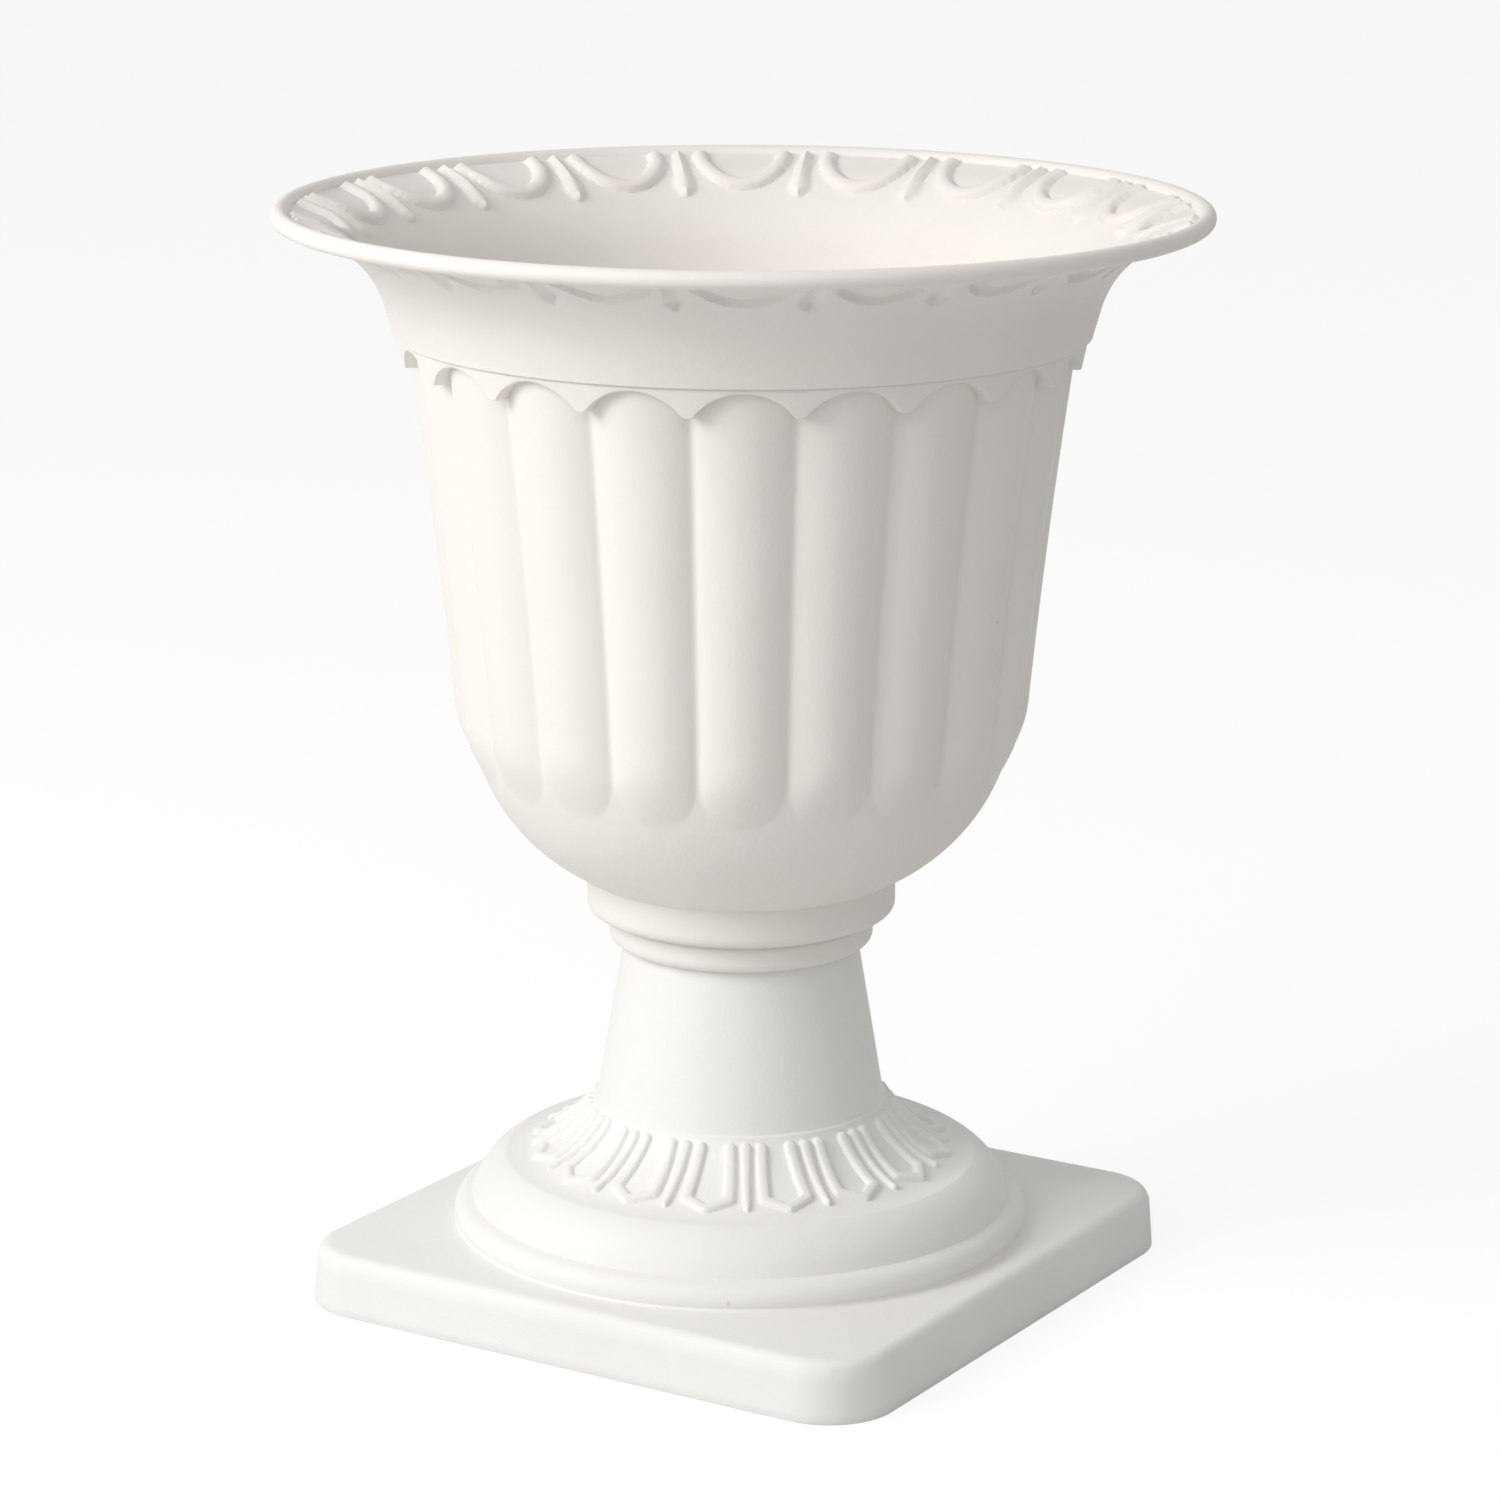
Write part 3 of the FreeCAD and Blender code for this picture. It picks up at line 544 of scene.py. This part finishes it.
def leaf_relief(angle, radius, slant):
    """Pointed leaf frames with a plain bar between each pair; slant is the way down the bell."""
    turn = nearest_turn(angle, LEAF_COUNT)
    side = turn * radius
    corner = (LEAF_WIDEST_HALF, LEAF_WIDEST)
    upper = segment_bar(side, slant, (LEAF_TOP_HALF, LEAF_TOP), corner)
    lower = segment_bar(side, slant, corner, (0.0, LEAF_POINT))
    gap = (math.pi / LEAF_COUNT - turn) * radius
    bar = segment_bar(gap, slant, (0.0, LEAF_TOP), (0.0, BAR_END), BAR_TAPER)
    return np.maximum(np.maximum(upper, lower), bar)


def pedestal_outside():
    """Stem, ledge, bell with its leaves, and the foot's two rounds down to the plinth."""
    rows = TurnedRows(around(FOOT_STEPS))
    groove = (GROOVE_RADIUS, RING_TOP)
    stem_top = stem_radius(BOWL_UNDERSIDE)
    rows.add(stem_top - 0.8, BOWL_UNDERSIDE)
    rows.add(*line_rows((stem_top, BOWL_UNDERSIDE - 0.8),
                        (STEM_FOOT_RADIUS + 0.1, STEM_FOOT_HEIGHT + 0.6), 40))
    rows.add(STEM_FOOT_RADIUS + 0.3, STEM_FOOT_HEIGHT - 0.1)
    rows.add(BELL_TOP[0] - 0.7, STEM_FOOT_HEIGHT - 0.4)
    rows.add(BELL_TOP[0] - 0.15, STEM_FOOT_HEIGHT - 1.0)
    bell_middle = offset_middle(BELL_TOP, BELL_FOOT, -BELL_SAG)
    bell_r, bell_z = three_point_arc(BELL_TOP, bell_middle, BELL_FOOT, 96)
    slant = np.concatenate([[0], np.cumsum(np.hypot(np.diff(bell_r), np.diff(bell_z)))])
    fall = np.arctan2(-np.gradient(bell_z), np.gradient(bell_r))[:, None]
    relief = leaf_relief(rows.angles[None, :], bell_r[:, None], slant[:, None])
    rows.add(bell_r[:, None] + relief * np.sin(fall), bell_z[:, None] + relief * np.cos(fall))
    round_middle = offset_middle(BELL_FOOT, groove, RING_SHOULDER)
    round_r, round_z = three_point_arc(BELL_FOOT, round_middle, groove, 26)
    rows.add(round_r[1:-1], round_z[1:-1])
    rows.add(GROOVE_RADIUS + 0.35, RING_TOP - 0.5)
    rows.add(*three_point_arc((GROOVE_RADIUS + 1.6, RING_TOP - 0.9),
                              (FOOT_RING_RADIUS, PLINTH_HEIGHT + 5.6),
                              (FOOT_RING_RADIUS - 0.5, PLINTH_HEIGHT + 1.2), 24))
    rows.add(FOOT_RING_RADIUS - 0.1, PLINTH_HEIGHT + 0.4)
    rows.add(FOOT_RING_RADIUS + 0.7, PLINTH_HEIGHT)
    return rows


def pedestal_hollow(inner_reach, plate):
    """Inside of the foot, bell and stem, from the deck's underside up to the stem's top plate."""
    rows = TurnedRows(around(INNER_STEPS))
    rows.add(*line_rows((inner_reach, PLINTH_DECK), (inner_reach, RING_TOP - PEDESTAL_WALL), 3))
    groove = (GROOVE_RADIUS - PEDESTAL_WALL, RING_TOP)
    foot = (BELL_FOOT[0] - 1.0, BELL_FOOT[1] - PEDESTAL_WALL)
    top = (BELL_TOP[0] - PEDESTAL_WALL, BELL_TOP[1] - PEDESTAL_WALL)
    arc_r, arc_z = three_point_arc(foot, offset_middle(foot, groove, RING_SHOULDER), groove, 12)
    rows.add(arc_r[::-1], arc_z[::-1])
    arc_r, arc_z = three_point_arc(top, offset_middle(top, foot, -BELL_SAG), foot, 24)
    rows.add(arc_r[::-1][1:], arc_z[::-1][1:])
    rows.add(*line_rows((STEM_FOOT_RADIUS - PEDESTAL_WALL, STEM_FOOT_HEIGHT),
                        (stem_radius(plate) - PEDESTAL_WALL, plate), 12))
    return rows


def make_pedestal():
    plate = BOWL_UNDERSIDE - PEDESTAL_WALL
    inner_reach = FOOT_RING_RADIUS - PEDESTAL_WALL
    outside = pedestal_outside()
    hollow = pedestal_hollow(inner_reach, plate)
    rings = [square_ring(PLINTH_WIDTH - 2 * inset, max(PLINTH_CORNER - inset, 1.0), height)
             for inset, height in plinth_section()]
    holes = floor_holes(STEM_DRAINS, STEM_DRAIN_RADIUS, BOWL_TURN)
    parts = [
        outside.part(),
        (np.concatenate(rings) * MM, grid_faces(len(rings), len(rings[0]))),
        flat_between(rings[0][:, :2] * MM, outside.end_ring(-1), PLINTH_HEIGHT * MM),
        hollow.part(),
        flat_between(rings[-1][:, :2] * MM, hollow.end_ring(0), PLINTH_DECK * MM),
        holed_disc(outside.end_ring(0), holes, BOWL_UNDERSIDE * MM),
        holed_disc(hollow.end_ring(-1), holes, plate * MM),
        hole_walls(holes, plate * MM, BOWL_UNDERSIDE * MM),
    ]
    for index in range(WEB_COUNT):
        parts.append(web_part(math.pi / 4 + index * math.pi / 2, inner_reach))
    return build_piece("pedestal_shell", parts)


def plinth_section():
    """Inset and height from the top face's edge, over the outside, to the hollow's deck."""
    slope = PLINTH_DRAFT / PLINTH_HEIGHT
    side_top = PLINTH_HEIGHT - PLINTH_EDGE
    section = []
    for index in range(10):
        turn = math.pi / 2 * (1 - index / 9)
        section.append((PLINTH_DRAFT + PLINTH_EDGE * (1 - math.cos(turn)),
                        side_top + PLINTH_EDGE * math.sin(turn)))
    section[-1] = (side_top * slope, side_top)
    for index in range(1, 5):
        height = side_top * (1 - index / 5)
        section.append((height * slope, height))
    section.extend([(0.1, 0.6), (0.5, 0.0), (PEDESTAL_WALL - 0.4, 0.0), (PEDESTAL_WALL, 0.4)])
    for index in range(1, 5):
        height = PLINTH_DECK * index / 4
        section.append((PEDESTAL_WALL + PLINTH_DRAFT * height / PLINTH_HEIGHT, height))
    return section


def web_part(turn, inner_reach):
    """Thin upright web from the foot's wall to the plinth's corner."""
    diagonal = PLINTH_WIDTH / math.sqrt(2) - PLINTH_CORNER * (math.sqrt(2) - 1)
    far = diagonal - PEDESTAL_WALL / 2 - PLINTH_DRAFT
    near = inner_reach + WEB_GAP
    points = []
    for height in (WEB_SETBACK, PLINTH_DECK + WEB_OVERLAP):
        for x, y in ((near, -WEB_HALF), (far, -WEB_HALF), (far, WEB_HALF), (near, WEB_HALF)):
            across, along = turned_point(x, y, turn)
            points.append((across * MM, along * MM, height * MM))
    faces = [(3, 2, 1, 0), (4, 5, 6, 7), (0, 1, 5, 4), (1, 2, 6, 5), (2, 3, 7, 6), (3, 0, 4, 7)]
    return points, faces


pedestal_shell = make_pedestal()
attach(pedestal_shell, "foot")
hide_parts("pedestal")


# ---- camera, as the photograph was taken -----------------------------------------------------------
CAMERA_TURN = math.radians(31.7)      # how far the view is turned from the plinth's front
CAMERA_DISTANCE = 1.9922
CAMERA_HEIGHT = 0.7268
CAMERA_ASIDE = 0.0035
CAMERA_PITCH = math.radians(14.045)
CAMERA_ROLL = math.radians(0.208)
SENSOR_WIDTH = 36.0
PHOTO_WIDTH = 1500                    # pixels
PHOTO_FOCAL_LENGTH = 4937             # pixels, as fitted to the photograph


def make_camera():
    data = bpy.data.cameras.new("view_camera")
    data.lens = SENSOR_WIDTH * PHOTO_FOCAL_LENGTH / PHOTO_WIDTH
    data.sensor_width = SENSOR_WIDTH
    camera = bpy.data.objects.new("view_camera", data)
    bpy.context.scene.collection.objects.link(camera)
    turn = Matrix.Rotation(CAMERA_TURN, 4, "Z")
    tilt = Matrix.Rotation(math.pi / 2 - CAMERA_PITCH, 4, "X")
    roll = Matrix.Rotation(CAMERA_ROLL, 4, "Z")
    place = turn @ Vector((CAMERA_ASIDE, -CAMERA_DISTANCE, CAMERA_HEIGHT))
    camera.matrix_world = Matrix.Translation(place) @ turn @ tilt @ roll
    bpy.context.scene.camera = camera


make_camera()


# ---- light and floor ----------------------------------------------------------------------------------
def area_light(name, azimuth, elevation, distance, size, power, colour):
    """Soft square lamp aimed at the urn's middle; azimuth in degrees from the camera's side."""
    data = bpy.data.lights.new(name, "AREA")
    data.shape = "SQUARE"
    data.size = size
    data.energy = power
    data.color = colour
    lamp = bpy.data.objects.new(name, data)
    turn = CAMERA_TURN + math.radians(azimuth)
    rise = math.radians(elevation)
    aim = Vector((0, 0, TOTAL_HEIGHT * MM / 2))
    level = math.cos(rise)
    place = aim + distance * Vector((math.sin(turn) * level, -math.cos(turn) * level, math.sin(rise)))
    lamp.location = place
    lamp.rotation_euler = (aim - place).to_track_quat("-Z", "Y").to_euler()
    bpy.context.scene.collection.objects.link(lamp)


KEY_POWER = 30.5
FILL_POWER = 8.5
KEY_COLOUR = (1.0, 0.99, 0.975)
FILL_COLOUR = (1.0, 1.0, 1.0)
ROOM_COLOUR = (1.0, 0.985, 0.965, 1)
ROOM_STRENGTH = 0.46
area_light("key_softbox", -62, 30, 2.2, 1.2, KEY_POWER, KEY_COLOUR)
area_light("front_fill", -12, 42, 2.6, 1.6, FILL_POWER, FILL_COLOUR)


def seen_directly(tree):
    """1 where the camera, a mirror or a clear surface looks straight at it."""
    path = tree.nodes.new("ShaderNodeLightPath")
    first = tree.nodes.new("ShaderNodeMath")
    first.operation = "MAXIMUM"
    tree.links.new(path.outputs["Is Camera Ray"], first.inputs[0])
    tree.links.new(path.outputs["Is Glossy Ray"], first.inputs[1])
    second = tree.nodes.new("ShaderNodeMath")
    second.operation = "MAXIMUM"
    tree.links.new(first.outputs[0], second.inputs[0])
    tree.links.new(path.outputs["Is Transmission Ray"], second.inputs[1])
    return second.outputs[0]


def make_world():
    world = bpy.data.worlds.new("studio")
    world.use_nodes = True
    tree = world.node_tree
    tree.nodes.clear()
    out = tree.nodes.new("ShaderNodeOutputWorld")
    soft = tree.nodes.new("ShaderNodeBackground")
    soft.inputs["Color"].default_value = ROOM_COLOUR
    soft.inputs["Strength"].default_value = ROOM_STRENGTH
    white = tree.nodes.new("ShaderNodeBackground")
    white.inputs["Color"].default_value = (1, 1, 1, 1)
    white.inputs["Strength"].default_value = 1.0
    mix = tree.nodes.new("ShaderNodeMixShader")
    tree.links.new(seen_directly(tree), mix.inputs[0])
    tree.links.new(soft.outputs[0], mix.inputs[1])
    tree.links.new(white.outputs[0], mix.inputs[2])
    tree.links.new(mix.outputs[0], out.inputs[0])
    bpy.context.scene.world = world


make_world()
bpy.context.scene.view_settings.view_transform = "Standard"


FLOOR_REACH = 6.0
FLOOR_DULL = (0.72, 0.72, 0.72, 1)         # what the urn receives back from the floor
FLOOR_SHOWN = (0.24, 0.24, 0.245, 1)       # what takes the shadow in the picture
FLOOR_GLOW = 0.82                          # added to it, so that the floor shows white


def make_floor():
    mesh = bpy.data.meshes.new("floor")
    corners = [(x * FLOOR_REACH, y * FLOOR_REACH, 0) for x, y in ((-1, -1), (1, -1), (1, 1), (-1, 1))]
    mesh.from_pydata(corners, [], [(0, 1, 2, 3)])
    floor = bpy.data.objects.new("floor", mesh)
    bpy.context.scene.collection.objects.link(floor)
    material = bpy.data.materials.new("white_sweep")
    material.use_nodes = True
    tree = material.node_tree
    tree.nodes.clear()
    out = tree.nodes.new("ShaderNodeOutputMaterial")
    dull = tree.nodes.new("ShaderNodeBsdfDiffuse")
    dull.inputs["Color"].default_value = FLOOR_DULL
    shown = tree.nodes.new("ShaderNodeBsdfDiffuse")
    shown.inputs["Color"].default_value = FLOOR_SHOWN
    glow = tree.nodes.new("ShaderNodeEmission")
    glow.inputs["Color"].default_value = (1, 1, 1, 1)
    glow.inputs["Strength"].default_value = FLOOR_GLOW
    both = tree.nodes.new("ShaderNodeAddShader")
    mix = tree.nodes.new("ShaderNodeMixShader")
    tree.links.new(shown.outputs[0], both.inputs[0])
    tree.links.new(glow.outputs[0], both.inputs[1])
    tree.links.new(seen_directly(tree), mix.inputs[0])
    tree.links.new(dull.outputs[0], mix.inputs[1])
    tree.links.new(both.outputs[0], mix.inputs[2])
    tree.links.new(mix.outputs[0], out.inputs[0])
    floor.data.materials.append(material)


make_floor()


# ---- materials -----------------------------------------------------------------------------------------
def new_group(name, inputs, outputs):
    """Empty shader node group with named number inputs and outputs."""
    tree = bpy.data.node_groups.new(name, "ShaderNodeTree")
    for label, value in inputs:
        socket = tree.interface.new_socket(name=label, in_out="INPUT", socket_type="NodeSocketFloat")
        socket.default_value = value
    for label in outputs:
        tree.interface.new_socket(name=label, in_out="OUTPUT", socket_type="NodeSocketFloat")
    return tree, tree.nodes.new("NodeGroupInput"), tree.nodes.new("NodeGroupOutput")


def noise(tree, vector, scale, detail=3.0, rough=0.55):
    node = tree.nodes.new("ShaderNodeTexNoise")
    node.inputs["Detail"].default_value = detail
    node.inputs["Roughness"].default_value = rough
    tree.links.new(vector, node.inputs["Vector"])
    if isinstance(scale, float):
        node.inputs["Scale"].default_value = scale
    else:
        tree.links.new(scale, node.inputs["Scale"])
    return node.outputs["Fac"]


def remap(tree, value, low, high, out_low=0.0, out_high=1.0):
    node = tree.nodes.new("ShaderNodeMapRange")
    node.interpolation_type = "SMOOTHSTEP"
    limits = (("From Min", low), ("From Max", high), ("To Min", out_low), ("To Max", out_high))
    for label, number in limits:
        node.inputs[label].default_value = number
    tree.links.new(value, node.inputs["Value"])
    return node.outputs["Result"]


def product(tree, first, second):
    node = tree.nodes.new("ShaderNodeMath")
    node.operation = "MULTIPLY"
    tree.links.new(first, node.inputs[0])
    tree.links.new(second, node.inputs[1])
    return node.outputs[0]


def sum_of(tree, first, second, share):
    """second * share + first."""
    node = tree.nodes.new("ShaderNodeMath")
    node.operation = "MULTIPLY_ADD"
    tree.links.new(second, node.inputs[0])
    node.inputs[1].default_value = share
    tree.links.new(first, node.inputs[2])
    return node.outputs[0]


def object_place(tree):
    return tree.nodes.new("ShaderNodeTexCoord").outputs["Object"]


def make_grain_group():
    """Moulded skin: fine grain, slow mottling, rare scuffs and rare specks."""
    tree, given, out = new_group("moulded_skin", [("Grain Scale", 620.0), ("Mottle Scale", 13.0)],
                                 ["Height", "Mottle", "Scuff", "Speck"])
    place = object_place(tree)
    fine = noise(tree, place, given.outputs["Grain Scale"], 2.0)
    broad = noise(tree, place, given.outputs["Mottle Scale"], 5.0, 0.6)
    ripple = noise(tree, place, 85.0, 3.0)
    height = sum_of(tree, fine, ripple, 1.6)
    stretch = tree.nodes.new("ShaderNodeMapping")
    stretch.inputs["Scale"].default_value = (1.0, 1.0, 0.16)
    stretch.inputs["Rotation"].default_value = (0.35, 0.2, 0.6)
    tree.links.new(place, stretch.inputs["Vector"])
    scratch = noise(tree, stretch.outputs[0], 240.0, 2.0)
    scuff = remap(tree, scratch, 0.69, 0.76)
    cells = tree.nodes.new("ShaderNodeTexVoronoi")
    cells.inputs["Scale"].default_value = 34.0
    tree.links.new(place, cells.inputs["Vector"])
    speck = remap(tree, cells.outputs["Distance"], 0.05, 0.028)
    rare = remap(tree, noise(tree, place, 9.0, 1.0), 0.55, 0.62)
    tree.links.new(height, out.inputs["Height"])
    tree.links.new(remap(tree, broad, 0.32, 0.68), out.inputs["Mottle"])
    tree.links.new(scuff, out.inputs["Scuff"])
    tree.links.new(product(tree, speck, rare), out.inputs["Speck"])
    return tree


def make_edge_and_hollow_group():
    """Wear is 1 along sharp outer edges, Hollow is 1 in inner corners; both are 0 on flats."""
    tree, given, out = new_group("edge_and_hollow_masks", [("Patch Scale", 60.0)], ["Wear", "Hollow"])
    geometry = tree.nodes.new("ShaderNodeNewGeometry")
    edge = remap(tree, geometry.outputs["Pointiness"], 0.53, 0.60)
    # Hollow marks inner corners: the resins paint shade there, the rubbers real dust
    hollow = remap(tree, geometry.outputs["Pointiness"], 0.485, 0.42)
    blotches = noise(tree, object_place(tree), given.outputs["Patch Scale"], 3.0)
    patch = remap(tree, blotches, 0.35, 0.6)
    tree.links.new(product(tree, edge, patch), out.inputs["Wear"])
    tree.links.new(hollow, out.inputs["Hollow"])
    return tree


MOULDED_SKIN = make_grain_group()
EDGE_AND_HOLLOW_GROUP = make_edge_and_hollow_group()


def place_group(tree, group, **values):
    node = tree.nodes.new("ShaderNodeGroup")
    node.node_tree = group
    for label, value in values.items():
        node.inputs[label.replace("_", " ")].default_value = value
    return node


def tint(tree, below, mask, colour, share):
    """Mixes a colour over another by a mask times a share."""
    strength = tree.nodes.new("ShaderNodeMath")
    strength.operation = "MULTIPLY"
    tree.links.new(mask, strength.inputs[0])
    strength.inputs[1].default_value = share
    node = tree.nodes.new("ShaderNodeMix")
    node.data_type = "RGBA"
    tree.links.new(strength.outputs[0], node.inputs["Factor"])
    if isinstance(below, tuple):
        node.inputs["A"].default_value = (*below, 1)
    else:
        tree.links.new(below, node.inputs["A"])
    node.inputs["B"].default_value = (*colour, 1)
    return node.outputs["Result"]


def start_material(name):
    material = bpy.data.materials.new(name)
    material.use_nodes = True
    tree = material.node_tree
    return material, tree, tree.nodes["Principled BSDF"]


def add_bump(tree, shader, height, distance, strength):
    bump = tree.nodes.new("ShaderNodeBump")
    bump.inputs["Distance"].default_value = distance
    bump.inputs["Strength"].default_value = strength
    tree.links.new(height, bump.inputs["Height"])
    tree.links.new(bump.outputs["Normal"], shader.inputs["Normal"])


def rough_from_mottle(tree, shader, skin, low, high):
    rough = remap(tree, skin.outputs["Mottle"], 0.0, 1.0, low, high)
    tree.links.new(rough, shader.inputs["Roughness"])


# painted shade: warm grey laid into the resin's inner corners and creases, where shade falls
PAINTED_CORNER_SHADE = (0.62, 0.585, 0.55)
SPECK_COLOUR = (0.42, 0.36, 0.31)


def moulded_resin(name, colour, shade, worn, grain, rough):
    """Matt moulded resin with fine grain, faint mottling, specks, rubbed edges and painted shade in inner
    corners.
    """
    material, tree, shader = start_material(name)
    skin = place_group(tree, MOULDED_SKIN, Grain_Scale=grain)
    pointiness_masks = place_group(tree, EDGE_AND_HOLLOW_GROUP)
    mottled = tint(tree, colour, skin.outputs["Mottle"], shade, 0.55)
    # painted shade: inner corners and creases darkened towards a warm grey, standing in for shade
    hollow_shade_and_dust = tint(tree, mottled, pointiness_masks.outputs["Hollow"], PAINTED_CORNER_SHADE, 0.16)
    rubbed = tint(tree, hollow_shade_and_dust, pointiness_masks.outputs["Wear"], worn, 0.5)
    scuffed = tint(tree, rubbed, skin.outputs["Scuff"], worn, 0.35)
    specked = tint(tree, scuffed, skin.outputs["Speck"], SPECK_COLOUR, 0.45)
    tree.links.new(specked, shader.inputs["Base Color"])
    rough_from_mottle(tree, shader, skin, rough - 0.05, rough + 0.07)
    shader.inputs["Specular IOR Level"].default_value = 0.42
    add_bump(tree, shader, skin.outputs["Height"], 0.00022, 0.55)
    return material


def zinc_plate(name):
    """Bright zinc-plated steel with cloudy passivation and rubbed edges."""
    material, tree, shader = start_material(name)
    skin = place_group(tree, MOULDED_SKIN, Grain_Scale=1500.0, Mottle_Scale=160.0)
    pointiness_masks = place_group(tree, EDGE_AND_HOLLOW_GROUP, Patch_Scale=300.0)
    cloudy = tint(tree, (0.62, 0.62, 0.60), skin.outputs["Mottle"], (0.50, 0.51, 0.53), 0.8)
    rubbed = tint(tree, cloudy, pointiness_masks.outputs["Wear"], (0.74, 0.73, 0.70), 0.6)
    tree.links.new(rubbed, shader.inputs["Base Color"])
    rough_from_mottle(tree, shader, skin, 0.28, 0.46)
    shader.inputs["Metallic"].default_value = 1.0
    add_bump(tree, shader, skin.outputs["Height"], 0.00005, 0.4)
    return material


def moulded_rubber(name, colour, dust):
    """Soft matt rubber with a fine skin and dust in its hollows."""
    material, tree, shader = start_material(name)
    skin = place_group(tree, MOULDED_SKIN, Grain_Scale=1200.0, Mottle_Scale=90.0)
    pointiness_masks = place_group(tree, EDGE_AND_HOLLOW_GROUP, Patch_Scale=200.0)
    dusty = tint(tree, colour, skin.outputs["Mottle"], dust, 0.35)
    hollow_shade_and_dust = tint(tree, dusty, pointiness_masks.outputs["Hollow"], dust, 0.4)
    tree.links.new(hollow_shade_and_dust, shader.inputs["Base Color"])
    rough_from_mottle(tree, shader, skin, 0.62, 0.8)
    add_bump(tree, shader, skin.outputs["Height"], 0.00008, 0.5)
    return material


def dress(piece, material):
    """Puts one material in every slot of the piece, and makes a slot where there is none."""
    slots = piece.data.materials
    if not slots:
        slots.append(material)
    for index in range(len(slots)):
        slots[index] = material


warm_white = moulded_resin("bowl_resin_warm_white", colour=(0.86, 0.835, 0.80), shade=(0.84, 0.805, 0.76),
                           worn=(0.90, 0.885, 0.86), grain=560.0, rough=0.60)
cool_white = moulded_resin("pedestal_resin_white", colour=(0.85, 0.845, 0.83), shade=(0.83, 0.82, 0.80),
                           worn=(0.90, 0.895, 0.885), grain=620.0, rough=0.58)
zinc = zinc_plate("zinc_plated_steel")
black_rubber = moulded_rubber("black_seal_rubber", (0.035, 0.035, 0.037), (0.10, 0.095, 0.09))
grey_rubber = moulded_rubber("pale_grey_plug_rubber", (0.55, 0.545, 0.53), (0.66, 0.64, 0.60))
dress(bowl_shell, warm_white)
dress(pedestal_shell, cool_white)
for name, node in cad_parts.items():
    if name in ("tie_bolt", "head_washer", "stem_washer", "wing_nut"):
        dress(node, zinc)
    elif name == "seal_washer":
        dress(node, black_rubber)
    elif name.startswith("drain_plug"):
        dress(node, grey_rubber)
